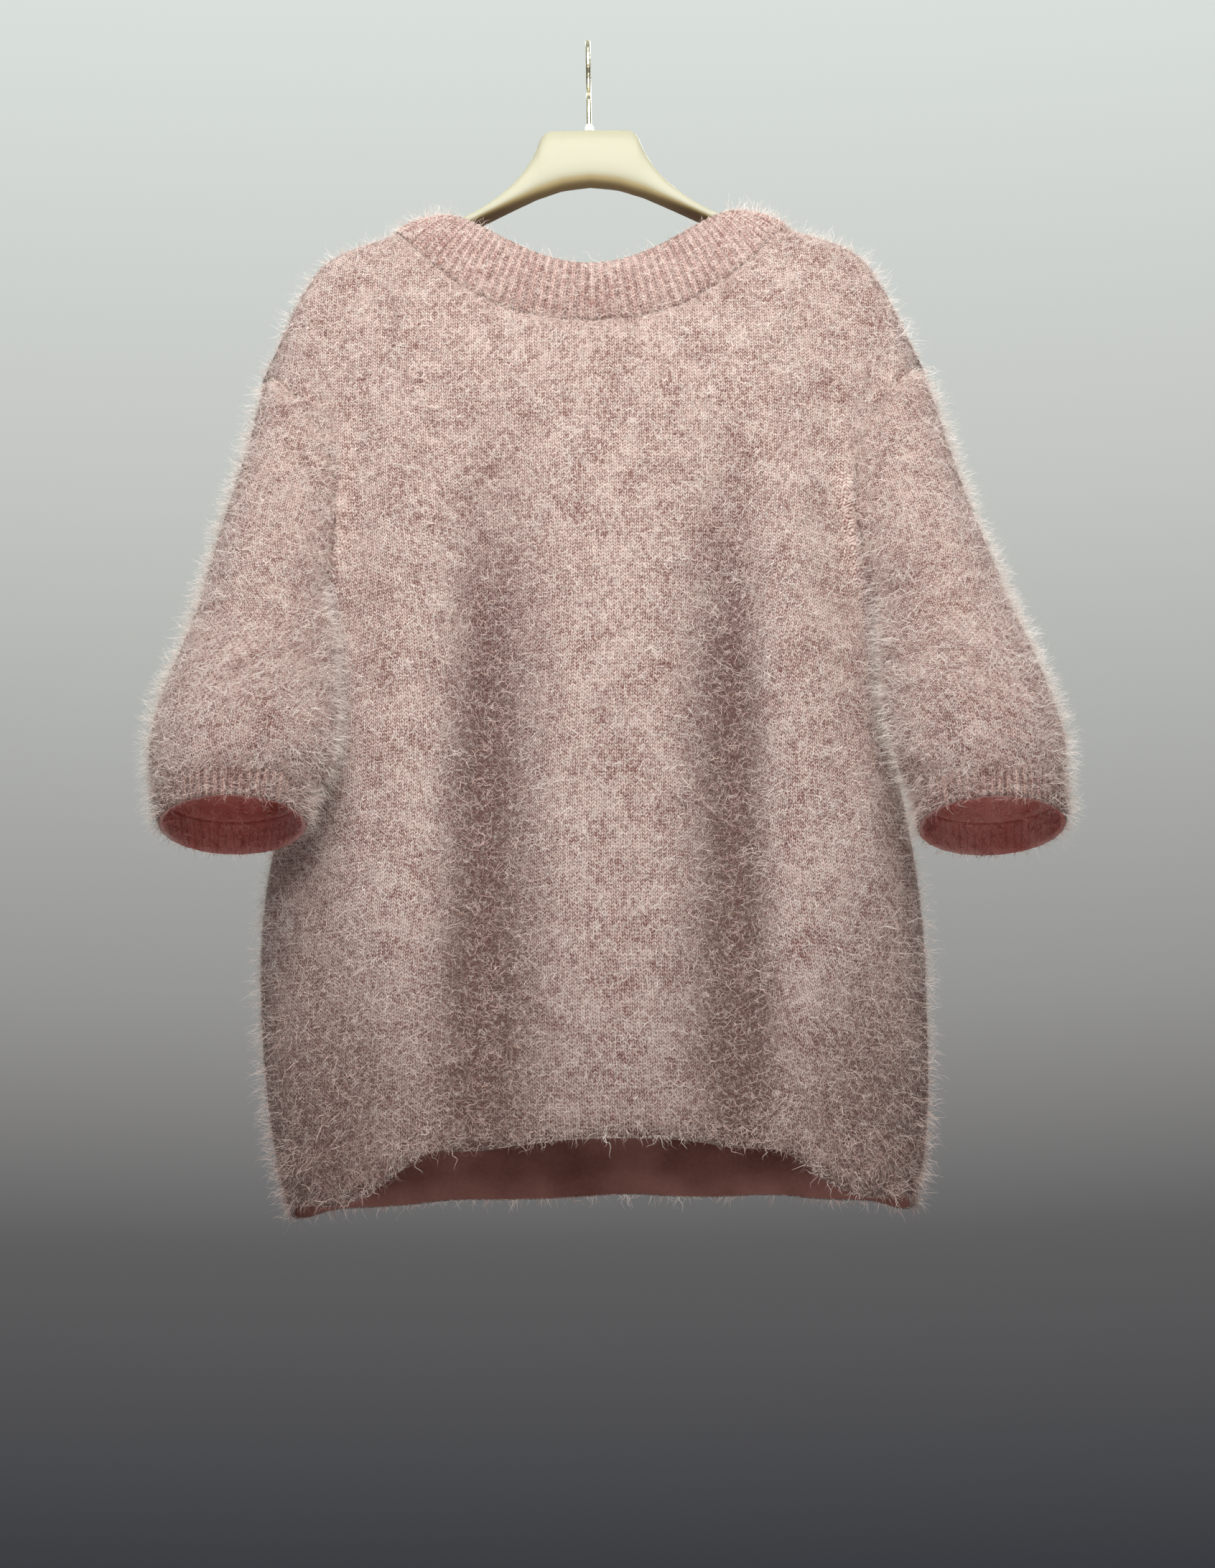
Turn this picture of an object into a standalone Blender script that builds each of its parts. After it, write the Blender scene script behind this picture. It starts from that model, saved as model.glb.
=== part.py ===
"""A short-sleeved mohair pullover hanging from a moulded plastic hanger.

Metres, +Z up, +X to the right as the front is seen, and the front faces -Y. The origin is the point
inside the top of the hanger's hook where a rail carries it, so the whole object hangs below zero.
Left and right are the sides that a viewer sees. Each knitted piece is a closed wall with an outer
and an inner skin, worked out as a grid of rows and columns that follow the knitting.
"""

import math

import bmesh
import bpy
import numpy as np

# Walls and gaps
WALL = 0.0035  # the knitting with its brushed nap
BAND_WALL = 0.0030  # the ribbed bands
SEAM_GAP = 0.0005  # between two pieces that are sewn together

# Grid of the front and the back
NECK_TURNS = (0, 14, 28, 42, 55, 66, 74, 80, 85, 90)  # degrees round the neckline to the shoulder seam
NECK_COLUMNS = len(NECK_TURNS) - 1
SIDE_COLUMNS = NECK_COLUMNS + 8  # from the middle to a side seam
YOKE_ROWS = 11  # from the shoulder to the underarm
SKIRT_ROWS = 9  # from the underarm to the hem
SECTION_POWER = 2.6  # how square the body's section is, where 2 is an ellipse
SECTION_RATIO = 0.27  # its depth against its width, for even spacing of the columns

# Neckline
NECK_HALF = 0.137  # half the width of the neckline's seam
NECK_EDGE_HALF = 0.104  # half the width of the neckband's open edge
NECK_CURVE = 2.4  # the power that shapes the neckline between its middle and the shoulders
FRONT_SEAM_DROP = 0.090
BACK_SEAM_DROP = 0.044
FRONT_EDGE_DROP = 0.058
BACK_EDGE_DROP = 0.020
FRONT_EDGE_DEPTH = 0.046
BACK_EDGE_DEPTH = 0.041
BAND_SWELL = 0.0025
NECK_RIBS = 112
NECK_RIB_HEIGHT = 0.0010

# Armhole and underarm
UNDERARM = -0.470
UNDERARM_SPREAD = 0.0021  # how far body and sleeve part on the inside of the underarm
ARMHOLE_PULL = 0.1425  # how far out the columns are pulled in above the underarm
ARMHOLE_LIFT = 0.034
SHOULDER_REACH = 0.080  # the drop over which the cloth swings out to its full depth
TOP_POWER = 3.0  # how square the cloth's bend over the shoulder is
EDGE_COLUMNS = 4  # how many columns the armhole's own depth reaches into
SLEEVE_MARGIN = 0.02  # how far the sleeve stays off the body's section, as a share of it

# Sleeves and cuffs
SLEEVE_COLUMNS = 22  # round the sleeve, from its front edge to its back edge
SLEEVE_DROPS = (0.07, 0.17, 0.29, 0.42, 0.56, 0.70, 0.82, 0.92, 1.0)  # rows, as shares below the underarm
SLEEVE_BLEND = 6  # how many columns the sleeve takes to leave the armhole's edge
CUFF_RIBS = 56
CUFF_RIB_HEIGHT = 0.0009
CUFF_DEPTH = 0.021

# Hanger
HANGER_SIDES = 12
SOCKET_DEPTH = 0.014
WIRE = 0.0036
WIRE_CLEARANCE = 0.0004
HOOK_RADIUS = 0.0180  # inside the bend, where the rail sits
HOOK_STEM_FOOT = -0.0820
COLLAR_RADIUS = 0.0034
COLLAR_HEIGHT = 0.0055


def smooth(places, values, where):
    """A curve through (places, values) that never overshoots them, read at where."""
    places, values, where = (np.asarray(a, float) for a in (places, values, where))
    widths = np.diff(places)
    slopes = np.diff(values) / widths
    tangents = np.concatenate([slopes[:1], np.zeros(len(places) - 2), slopes[-1:]])
    before, after = slopes[:-1], slopes[1:]
    same_way = before * after > 0
    inner = tangents[1:-1]
    inner[same_way] = 2 * before[same_way] * after[same_way] / (before + after)[same_way]
    i = np.clip(np.searchsorted(places, where) - 1, 0, len(places) - 2)
    t = np.clip((where - places[i]) / widths[i], 0, 1)
    rise = widths[i] * (t * (1 - t) ** 2 * tangents[i] - t * t * (1 - t) * tangents[i + 1])
    return values[i] * (1 + 2 * t) * (1 - t) ** 2 + values[i + 1] * t * t * (3 - 2 * t) + rise


def ease(t):
    """0 below 0, 1 above 1 and a soft step between."""
    t = np.clip(t, 0, 1)
    return t * t * (3 - 2 * t)


def unit(vectors):
    return vectors / np.maximum(np.linalg.norm(vectors, axis=-1, keepdims=True), 1e-12)


class Table:
    """Rows of sizes with named columns. The first column is the place that the others are read at."""

    def __init__(self, names, *rows):
        self.names = names.split()
        self.rows = rows

    def column(self, name):
        return [row[self.names.index(name)] for row in self.rows]

    def at(self, name, where):
        return smooth(self.column(self.names[0]), self.column(name), where)

    def records(self):
        return [dict(zip(self.names, row)) for row in self.rows]


# The hanger from its middle to its tip: a plate under the hook, a steep flank, then a thin arm.
HANGER = Table(
    "across top bottom half_depth",
    (0.000, -0.0690, -0.1115, 0.0095),
    (0.019, -0.0690, -0.1141, 0.0095),
    (0.028, -0.0692, -0.1172, 0.0095),
    (0.0335, -0.0735, -0.1192, 0.0094),
    (0.038, -0.0850, -0.1208, 0.0090),
    (0.0436, -0.0965, -0.1235, 0.0088),
    (0.0526, -0.1095, -0.1278, 0.0088),
    (0.0627, -0.1198, -0.1328, 0.0088),
    (0.0746, -0.1295, -0.1390, 0.0089),
    (0.0885, -0.1378, -0.1465, 0.0090),
    (0.104, -0.1445, -0.1540, 0.0092),
    (0.137, -0.1565, -0.1680, 0.0098),
    (0.158, -0.1643, -0.1762, 0.0100),
    (0.170, -0.1700, -0.1815, 0.0098),
    (0.177, -0.1755, -0.1815, 0.0080),
    (0.180, -0.1780, -0.1805, 0.0050),
)

# Where the shoulder droops past the hanger's tip, and how deep and tall its round top is.
DROOP = Table(
    "across height round_depth round_height",
    (0.104, -0.1398, 0.0165, 0.019),
    (0.137, -0.1518, 0.0170, 0.019),
    (0.165, -0.1621, 0.0180, 0.020),
    (0.184, -0.1692, 0.0190, 0.022),
    (0.1955, -0.1860, 0.0210, 0.024),
    (0.209, -0.2130, 0.0235, 0.026),
    (0.229, -0.2620, 0.0260, 0.028),
)

# The body from the underarm to the hem. centre is how far its middle hangs off the hook's line.
BODY = Table(
    "drop half_width centre front_depth back_depth side_y",
    (-0.850, 0.2020, -0.003, 0.0560, 0.0660, 0.020),
    (-0.835, 0.2080, -0.003, 0.0590, 0.0700, 0.020),
    (-0.800, 0.2140, -0.004, 0.0620, 0.0710, 0.020),
    (-0.740, 0.2185, -0.006, 0.0600, 0.0670, 0.020),
    (-0.670, 0.2200, -0.007, 0.0570, 0.0610, 0.020),
    (-0.600, 0.2130, -0.006, 0.0550, 0.0560, 0.020),
    (-0.540, 0.2010, -0.004, 0.0540, 0.0500, 0.018),
    (-0.500, 0.1940, -0.002, 0.0540, 0.0470, 0.015),
    (-0.470, 0.1930, 0.000, 0.0540, 0.0450, 0.012),
    (-0.150, 0.1930, 0.000, 0.0520, 0.0400, 0.000),
)
ARMHOLE = Table(
    "share front_y back_y",
    (0.00, 0.000, 0.000),
    (0.05, -0.019, 0.018),
    (0.12, -0.0265, 0.025),
    (0.30, -0.0325, 0.029),
    (0.55, -0.0365, 0.033),
    (0.80, -0.0355, 0.035),
    (0.90, -0.0270, 0.0315),
    (0.95, -0.0110, 0.0235),
    (1.00, 0.012, 0.012),
)
HEM = -0.832
HEM_SAG = 0.014  # how much lower the hem hangs at the side seams
HEM_CORNER = 0.024  # how much lower still the front droops towards its corners

# Soft troughs, and ridges where depth is negative. inner and outer are the widths of their two flanks.
FOLDS = "top_x hem_x depth inner outer start full fade"
FRONT_FOLDS = Table(
    FOLDS,
    (-0.074, -0.084, 0.032, 0.036, 0.020, -0.26, -0.58, -1.00),
    (0.092, 0.090, 0.036, 0.028, 0.015, -0.27, -0.58, -1.00),
    (0.006, 0.006, -0.005, 0.040, 0.040, -0.30, -0.60, -1.00),
    (-0.136, -0.134, -0.008, 0.022, 0.026, -0.24, -0.45, -1.00),
    (0.132, 0.130, -0.010, 0.016, 0.026, -0.24, -0.45, -1.00),
    (-0.196, -0.196, 0.009, 0.034, 0.030, -0.42, -0.54, -0.78),
    (0.202, 0.202, 0.008, 0.030, 0.030, -0.42, -0.54, -0.78),
)
BACK_FOLDS = Table(
    FOLDS,
    (-0.095, -0.104, 0.024, 0.030, 0.018, -0.26, -0.56, -1.00),
    (0.020, 0.014, 0.015, 0.028, 0.024, -0.34, -0.66, -1.00),
    (0.102, 0.112, 0.026, 0.030, 0.018, -0.28, -0.60, -1.00),
)

# Level sections of the sleeves: how far each reaches out, in, forwards and back.
SLEEVE = "height outer inner front_y back_y"
SLEEVES = {
    "left": Table(
        SLEEVE,
        (-0.606, 0.2885, 0.1900, -0.1170, -0.0190),
        (-0.597, 0.2900, 0.1880, -0.1190, -0.0170),
        (-0.588, 0.2935, 0.1800, -0.1225, -0.0135),
        (-0.569, 0.2955, 0.1730, -0.1235, -0.0110),
        (-0.538, 0.2930, 0.1720, -0.1150, -0.0040),
        (-0.502, 0.2835, 0.1730, -0.1010, 0.0080),
        (-0.461, 0.2715, 0.1740, -0.0850, 0.0200),
        (-0.404, 0.2590, 0.1750, -0.0670, 0.0300),
        (-0.361, 0.2490, 0.1780, -0.0560, 0.0320),
        (-0.329, 0.2405, 0.1830, -0.0480, 0.0310),
        (-0.308, 0.2350, 0.1880, -0.0420, 0.0300),
        (-0.285, 0.2315, 0.1920, -0.0320, 0.0280),
        (-0.262, 0.2300, 0.1980, -0.0250, 0.0250),
    ),
    "right": Table(
        SLEEVE,
        (-0.615, 0.3010, 0.2065, -0.1160, -0.0185),
        (-0.606, 0.3025, 0.2050, -0.1180, -0.0160),
        (-0.596, 0.3050, 0.1990, -0.1215, -0.0125),
        (-0.574, 0.3055, 0.1955, -0.1225, -0.0105),
        (-0.540, 0.3000, 0.1935, -0.1140, -0.0030),
        (-0.503, 0.2910, 0.1925, -0.1000, 0.0080),
        (-0.466, 0.2800, 0.1910, -0.0850, 0.0190),
        (-0.413, 0.2660, 0.1880, -0.0670, 0.0290),
        (-0.372, 0.2535, 0.1850, -0.0560, 0.0320),
        (-0.336, 0.2450, 0.1860, -0.0480, 0.0310),
        (-0.310, 0.2390, 0.1890, -0.0420, 0.0300),
        (-0.285, 0.2340, 0.1930, -0.0320, 0.0280),
        (-0.262, 0.2300, 0.1980, -0.0250, 0.0250),
    ),
}
CUFF_TOPS = {"left": -0.597, "right": -0.606}
UNDERARM_TURNS = (229.0, 184.0)  # degrees round the section where the sleeve's seam starts and ends
CUFF_EDGE_HALF_X = 0.0475
CUFF_EDGE_HALF_Y = 0.0530
SIDES = {"left": -1, "right": 1}
FACINGS = {"front": -1, "back": 1}

COLOURS = {
    "mohair": (0.60, 0.42, 0.385, 1.0),
    "ribbing": (0.58, 0.38, 0.355, 1.0),
    "hanger_plastic": (0.83, 0.82, 0.66, 1.0),
    "collar_plastic": (0.88, 0.88, 0.85, 1.0),
    "hook_wire": (0.70, 0.66, 0.44, 1.0),
}


def material(name, roughness=0.9, metallic=0.0):
    made = bpy.data.materials.get(name) or bpy.data.materials.new(name)
    made.use_nodes = True
    shader = made.node_tree.nodes["Principled BSDF"]
    shader.inputs["Base Color"].default_value = COLOURS[name]
    shader.inputs["Roughness"].default_value = roughness
    shader.inputs["Metallic"].default_value = metallic
    made.diffuse_color = COLOURS[name]
    return made


def add_object(name, mesh_builder, finish):
    mesh = bpy.data.meshes.new(name)
    mesh_builder.to_mesh(mesh)
    mesh_builder.free()
    made = bpy.data.objects.new(name, mesh)
    bpy.context.scene.collection.objects.link(made)
    made.data.materials.append(finish)
    made.data.shade_smooth()
    made.data.set_sharp_from_angle(angle=math.radians(50))
    return made


def skin_faces(builder, rows, wrap, flip):
    """Four-sided faces between neighbouring rows of vertices, which close into rings where wrap is set."""
    columns = len(rows[0])
    for upper, lower in zip(rows, rows[1:]):
        for i in range(columns if wrap else columns - 1):
            j = (i + 1) % columns
            corners = [upper[i], upper[j], lower[j], lower[i]]
            builder.faces.new(corners[::-1] if flip else corners)


def skin_triangles(builder, rows, leans, flip):
    """Triangles between neighbouring rows. leans says which way each cell is split, so that the two
    skins of a wall are split alike and stay parallel."""
    for upper, lower, leaning in zip(rows, rows[1:], leans):
        for i, leans_right in enumerate(leaning):
            j = i + 1 if i + 1 < len(upper) else 0
            if leans_right:
                faces = [[upper[i], upper[j], lower[j]], [upper[i], lower[j], lower[i]]]
            else:
                faces = [[upper[i], upper[j], lower[i]], [upper[j], lower[j], lower[i]]]
            for corners in faces:
                builder.faces.new(corners[::-1] if flip else corners)


def shorter_diagonals(grid, wrap):
    """For each cell of a grid, whether the diagonal from its upper left to its lower right is shorter."""
    after = np.roll(grid, -1, axis=1)
    down_right = np.linalg.norm(after[1:] - grid[:-1], axis=-1)
    down_left = np.linalg.norm(grid[1:] - after[:-1], axis=-1)
    leans = down_right < down_left
    return leans if wrap else leans[:, :-1]


def rim_faces(builder, outer, inner, wrap, flip):
    """Triangles across the thickness. Two pieces that share a seam split it along the same lines."""
    count = len(outer)
    for i in range(count if wrap else count - 1):
        j = (i + 1) % count
        if outer[i].co.z > outer[j].co.z:
            faces = [[outer[i], outer[j], inner[j]], [outer[i], inner[j], inner[i]]]
        else:
            faces = [[outer[i], outer[j], inner[i]], [outer[j], inner[j], inner[i]]]
        for corners in faces:
            builder.faces.new(corners[::-1] if flip else corners)


def wall(name, outer, inner, wrap, finish, closed_from=None):
    """A closed wall between two skins, each a grid of points (rows, columns, 3). From row closed_from
    on, a row's last point is its first."""
    builder = bmesh.new()
    skins = [
        [[builder.verts.new(point) for point in row] for row in skin] for skin in (outer, inner)
    ]
    open_rows = len(outer) if closed_from is None else closed_from + 1
    for skin in skins:
        for row in skin[open_rows - 1 :] if closed_from is not None else []:
            builder.verts.remove(row[-1])
            row[-1] = row[0]
    across, down = outer[:-1, 1:] - outer[:-1, :-1], outer[1:, :-1] - outer[:-1, :-1]
    away = (outer - inner)[:-1, :-1]
    flip = (np.cross(across, down) * away).sum() < 0
    leans = shorter_diagonals(outer, wrap)
    skin_triangles(builder, skins[0], leans, flip)
    skin_triangles(builder, skins[1], leans, not flip)
    for edge in (0, -1):
        rim_faces(builder, skins[0][edge], skins[1][edge], wrap, flip == (edge == -1))
    if not wrap:
        for edge in (0, -1):
            rim = [[row[edge] for row in skin[:open_rows]] for skin in skins]
            rim_faces(builder, *rim, False, flip != (edge == -1))
    return add_object(name, builder, finish)


def skin_normals(grid, wrap, closed_from=None):
    """The outward or inward normal at each point of a grid, before any sign is chosen."""
    if wrap:
        grid = np.concatenate([grid[:, -1:], grid, grid[:, :1]], axis=1)
    along, down = np.gradient(grid, axis=1), np.gradient(grid, axis=0)
    if closed_from is not None:
        along[closed_from:, [0, -1]] = (grid[closed_from:, 1] - grid[closed_from:, -2])[:, None]
    normals = unit(np.cross(unit(along), unit(down)))
    normals = unit(evened(normals[:, 1:-1] if wrap else normals, wrap))
    if closed_from is not None:
        normals[closed_from:, [0, -1]] = unit(normals[closed_from:, [0, -1]].sum(1, keepdims=True))
    return normals


def evened(normals, wrap):
    """Each normal mixed with those round it, so that a sharp turn can't make the inner skin cross itself."""
    for axis in (0, 1):
        around = [(0, 0), (0, 0), (0, 0)]
        around[axis] = (1, 1)
        padded = np.pad(normals, around, mode="wrap" if wrap and axis == 1 else "edge")
        lower, upper = np.delete(padded, [-1, -2], axis), np.delete(padded, [0, 1], axis)
        normals = 0.5 * normals + 0.25 * (lower + upper)
    return normals


# The shoulder line and the body's surface


def shoulder_height(across):
    """The outside of the cloth along its top: over the hanger's arm, then drooping past its tip."""
    inside_neck = np.interp(across, [0.0, NECK_EDGE_HALF], [-0.105, DROOP.at("height", NECK_EDGE_HALF)])
    return np.where(across < NECK_EDGE_HALF, inside_neck, DROOP.at("height", across))


def shoulder_polyline(count=90):
    across = np.linspace(0.0, DROOP.column("across")[-1], count)
    return np.stack([across, shoulder_height(across)], axis=1)


SHOULDER = shoulder_polyline()


def below_shoulder(x, z):
    """How far each point lies from the shoulder line, as the garment is seen from the front."""
    points = np.stack([np.abs(x), z], axis=-1)[..., None, :]
    starts, runs = SHOULDER[:-1], np.diff(SHOULDER, axis=0)
    share = ((points - starts) * runs).sum(-1) / (runs * runs).sum(-1)
    nearest = starts + np.clip(share, 0, 1)[..., None] * runs
    return np.linalg.norm(points - nearest, axis=-1).min(-1)


def round_top(x, z):
    """Half the cloth's depth near the shoulder line, where it bends over the hanger's arm."""
    depth = DROOP.at("round_depth", np.abs(x))
    height = DROOP.at("round_height", np.abs(x))
    share = 1 - np.clip(below_shoulder(x, z) / height, 0, 1)
    return depth * (1 - share**TOP_POWER) ** (1 / TOP_POWER)


def fold_depth(x, z, folds):
    """How far the folds draw the cloth inwards."""
    total = np.zeros_like(x)
    for fold in folds.records():
        sink = np.clip((fold["start"] - z) / (fold["start"] - HEM), 0, 1)
        middle = fold["top_x"] + (fold["hem_x"] - fold["top_x"]) * sink
        outwards = (x - middle) * math.copysign(1, fold["top_x"]) > 0
        width = np.where(outwards, fold["outer"], fold["inner"])
        growth = ease((fold["start"] - z) / (fold["start"] - fold["full"]))
        fade = 1 - ease((fold["full"] - z) / (fold["full"] - fold["fade"]))
        total += fold["depth"] * growth * fade * np.exp(-(((x - middle) / width) ** 2))
    return total


def even_section():
    """Places along half of the body's flattened section, evenly spaced: share of width, share of depth."""
    angles = np.linspace(0, math.pi / 2, 400)
    across = np.sin(angles) ** (2 / SECTION_POWER)
    depth = np.cos(angles) ** (2 / SECTION_POWER)
    steps = np.hypot(np.diff(across), SECTION_RATIO * np.diff(depth))
    length = np.concatenate([[0], np.cumsum(steps)]) / steps.sum()
    places = np.interp(np.linspace(0, 1, SIDE_COLUMNS + 1), length, across)
    places[-1] = 1.0
    return places, (1 - places**SECTION_POWER) ** (1 / SECTION_POWER)


def both_sides(half, sign):
    """A half column of values, from the middle outwards, with its mirror in front of it."""
    return np.concatenate([sign * half[:0:-1], half])


def neck_seam_height(x, drop):
    return DROOP.at("height", NECK_HALF) - drop * (1 - (x / NECK_HALF) ** NECK_CURVE)


def top_edge(facing):
    """Where the columns of the front or back start: along the neckline, then the shoulder seam."""
    turn = np.radians(NECK_TURNS)
    neck_x = NECK_HALF * np.sin(turn)
    neck_z = neck_seam_height(neck_x, FRONT_SEAM_DROP if facing == "front" else BACK_SEAM_DROP)
    line = SHOULDER[SHOULDER[:, 0] > NECK_HALF]
    line = np.concatenate([[[NECK_HALF, DROOP.at("height", NECK_HALF)]], line])
    length = np.concatenate([[0], np.cumsum(np.linalg.norm(np.diff(line, axis=0), axis=1))])
    stops = np.linspace(0, length[-1], SIDE_COLUMNS - NECK_COLUMNS + 1)[1:]
    seam = np.stack([np.interp(stops, length, line[:, axis]) for axis in (0, 1)], axis=1)
    x = np.concatenate([neck_x, seam[:, 0]])
    z = np.concatenate([neck_z, seam[:, 1]])
    return both_sides(x, -1), both_sides(z, 1)


def panel(facing):
    """The outer skin of the front or back, a grid from the neck and shoulders down to the hem."""
    way = FACINGS[facing]
    folds = FRONT_FOLDS if facing == "front" else BACK_FOLDS
    width_share, depth_share = even_section()
    width_share, depth_share = both_sides(width_share, -1), both_sides(depth_share, 1)
    outward_share = np.abs(width_share)
    outward = np.abs(np.linspace(-1, 1, 2 * SIDE_COLUMNS + 1))

    start_x, start_z = top_edge(facing)
    end_x = BODY.at("half_width", UNDERARM) * width_share
    pulled = ARMHOLE_PULL * np.clip(np.abs(start_x) / NECK_HALF, 0, 1)
    bend_x = np.copysign(pulled, start_x)
    bend_z = (start_z + UNDERARM) / 2 + ARMHOLE_LIFT * ease((outward - 0.5) / 0.5)
    # Rows crowd together at the top, where the cloth bends over the hanger, and just above the underarm.
    crowding = 2.0 - 0.9 * ease((outward - 0.8) / 0.2)
    yoke = np.linspace(0, 1, YOKE_ROWS)[:, None] ** crowding
    yoke = np.concatenate([yoke[:-1], (yoke[-2:-1] + 1) / 2, yoke[-1:]])
    x = (1 - yoke) ** 2 * start_x + 2 * yoke * (1 - yoke) * bend_x + yoke**2 * end_x
    z = (1 - yoke) ** 2 * start_z + 2 * yoke * (1 - yoke) * bend_z + yoke**2 * UNDERARM

    drops = UNDERARM + (HEM - UNDERARM) * np.linspace(0, 1, SKIRT_ROWS + 1)[1:, None] ** 0.85
    sunk = (UNDERARM - drops) / (UNDERARM - HEM)
    outer, side = ease((outward_share - 0.5) / 0.3), ease((outward_share - 0.85) / 0.15)
    corner = outer - 0.6 * side if facing == "front" else 0.4 * side
    skirt_z = drops - HEM_SAG * sunk * width_share**2 - HEM_CORNER * sunk**3 * corner
    skirt_x = BODY.at("half_width", skirt_z) * width_share + BODY.at("centre", skirt_z)
    x, z = np.concatenate([x, skirt_x]), np.concatenate([z, skirt_z])

    depth = BODY.at(facing + "_depth", z)
    side_y = BODY.at("side_y", z)
    swing = 1 - np.exp(-below_shoulder(x, z) / SHOULDER_REACH)
    top = round_top(x, z)
    hung = way * (top + np.maximum(depth - top, 0) * swing * depth_share)
    level = side_y + (way * depth - side_y) * depth_share
    share = ease((np.concatenate([yoke, np.ones_like(skirt_z)]) - 0.30) / 0.70)
    on_hanger = top < 0.8 * DROOP.at("round_depth", np.abs(x))
    free = ease(depth_share / 0.5) * np.where(on_hanger, share, 1)
    y = hung * (1 - share) + level * share - way * fold_depth(x, z, folds) * free
    from_edge = np.minimum(np.arange(len(outward)), np.arange(len(outward))[::-1])
    edge_pull = np.clip(1 - from_edge / EDGE_COLUMNS, 0, 1) ** 2
    for column in (0, -1):
        lift = ARMHOLE.at(facing + "_y", yoke[:, column]) - y[: YOKE_ROWS + 1, column]
        near = edge_pull * (np.sign(start_x) == np.sign(start_x[column]))
        y[1 : YOKE_ROWS + 1] += lift[1:, None] * near
    return np.stack([x, y, z], axis=-1)


# Sleeves, which start on the armhole columns of the front and back


def clear_of_body(points):
    """Moves the points that lie inside the body's section below the underarm out to its surface."""
    x, y, z = np.moveaxis(points, -1, 0)
    middle, side_y = BODY.at("centre", z), BODY.at("side_y", z)
    width, depth = BODY.at("half_width", z), side_y + BODY.at("front_depth", z)
    across, forward = np.abs(x - middle) / width, np.maximum(side_y - y, 0) / depth
    reach = (across**SECTION_POWER + forward**SECTION_POWER) ** (1 / SECTION_POWER)
    push = np.maximum(1, (1 + SLEEVE_MARGIN) / reach)
    return np.stack([middle + (x - middle) * push, side_y + (y - side_y) * push, z], axis=-1)


def section(side, height):
    """The middle and the half sizes of the sleeve's level section."""
    outer, inner, ahead, behind = (SLEEVES[side].at(name, height) for name in SLEEVE.split()[1:])
    return (outer + inner) / 2, (outer - inner) / 2, (ahead + behind) / 2, (behind - ahead) / 2


def on_section(side, height, turn, reach):
    """Points round a level section. turn is 0 at its outside and a quarter turn at its front."""
    middle_x, half_x, middle_y, half_y = section(side, height)
    x = middle_x + reach * half_x * np.cos(turn)
    y = middle_y - reach * half_y * np.sin(turn)
    return np.stack([SIDES[side] * x, y, np.full_like(x, height)], axis=1)


def turn_and_reach(side, point):
    """Where a point lies round its level section, and how far out as a share of the section."""
    middle_x, half_x, middle_y, half_y = section(side, point[2])
    across, ahead = (abs(point[0]) - middle_x) / half_x, (middle_y - point[1]) / half_y
    return math.atan2(ahead, across), math.hypot(across, ahead)


def blend_ends(start, end):
    """1 plus what each end differs from 1 by, fading over the first and the last few columns."""
    place = np.arange(SLEEVE_COLUMNS + 1)
    from_start = np.clip(1 - place / SLEEVE_BLEND, 0, 1) ** 2
    return 1 + (start - 1) * from_start + (end - 1) * from_start[::-1]


def over_the_top(three):
    """The sleeve's first row: straight from the front's edge to the shoulder's end and on to the back's."""
    place = np.linspace(0, 2, SLEEVE_COLUMNS + 1)
    return np.stack([np.interp(place, [0, 1, 2], three[:, axis]) for axis in range(3)], axis=1)


def sleeve(front, back, side):
    """Level rows from the top of the armhole down. They are open on the armhole's edges as far as the
    underarm and are closed rings below it. Returns the grid and the first closed row."""
    column = 0 if side == "left" else -1
    front_edge, back_edge = front[:, column], back[:, column]
    rows = [over_the_top(np.array([front_edge[1], front_edge[0], back_edge[1]]))]
    for k in range(2, YOKE_ROWS):
        (turn_f, reach_f), (turn_b, reach_b) = (
            turn_and_reach(side, edge[k]) for edge in (front_edge, back_edge)
        )
        turn = np.linspace(turn_f % (2 * math.pi), -(-turn_b % (2 * math.pi)), SLEEVE_COLUMNS + 1)
        row = on_section(side, front_edge[k, 2], turn, blend_ends(reach_f, reach_b))
        row[0], row[-1] = front_edge[k], back_edge[k]
        rows.append(row)
    closed_from = len(rows)
    underarm = front_edge[YOKE_ROWS]
    turn_u, reach_u = turn_and_reach(side, underarm)
    turn_u %= 2 * math.pi
    for share in (0.0, *SLEEVE_DROPS):
        height = UNDERARM + (CUFF_TOPS[side] - UNDERARM) * share
        seam = turn_u + (math.radians(UNDERARM_TURNS[1]) - turn_u) * ease(share / 0.8)
        turn = seam - np.linspace(0, 2 * math.pi, SLEEVE_COLUMNS + 1)
        reach = 1 + (reach_u - 1) * (1 - share)
        row = clear_of_body(on_section(side, height, turn, blend_ends(reach, reach)))
        if share == 0.0:
            row[0] = row[-1] = underarm
        rows.append(row)
    return np.array(rows), closed_from


def armhole_places(closed_from):
    """The rows and columns of the sleeve's grid that lie round its armhole, in order."""
    down = [(row, 0) for row in range(closed_from + 1)]
    up = [(row, SLEEVE_COLUMNS) for row in range(closed_from - 1, -1, -1)]
    over = [(0, column) for column in range(SLEEVE_COLUMNS - 1, 0, -1)]
    return tuple(np.array(down + up + over).T)


# Thickness, shared along the seams so that the pieces' edges stay parallel


def seam_key(point):
    return tuple(np.round(np.asarray(point) * 1e5).astype(int))


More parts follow.
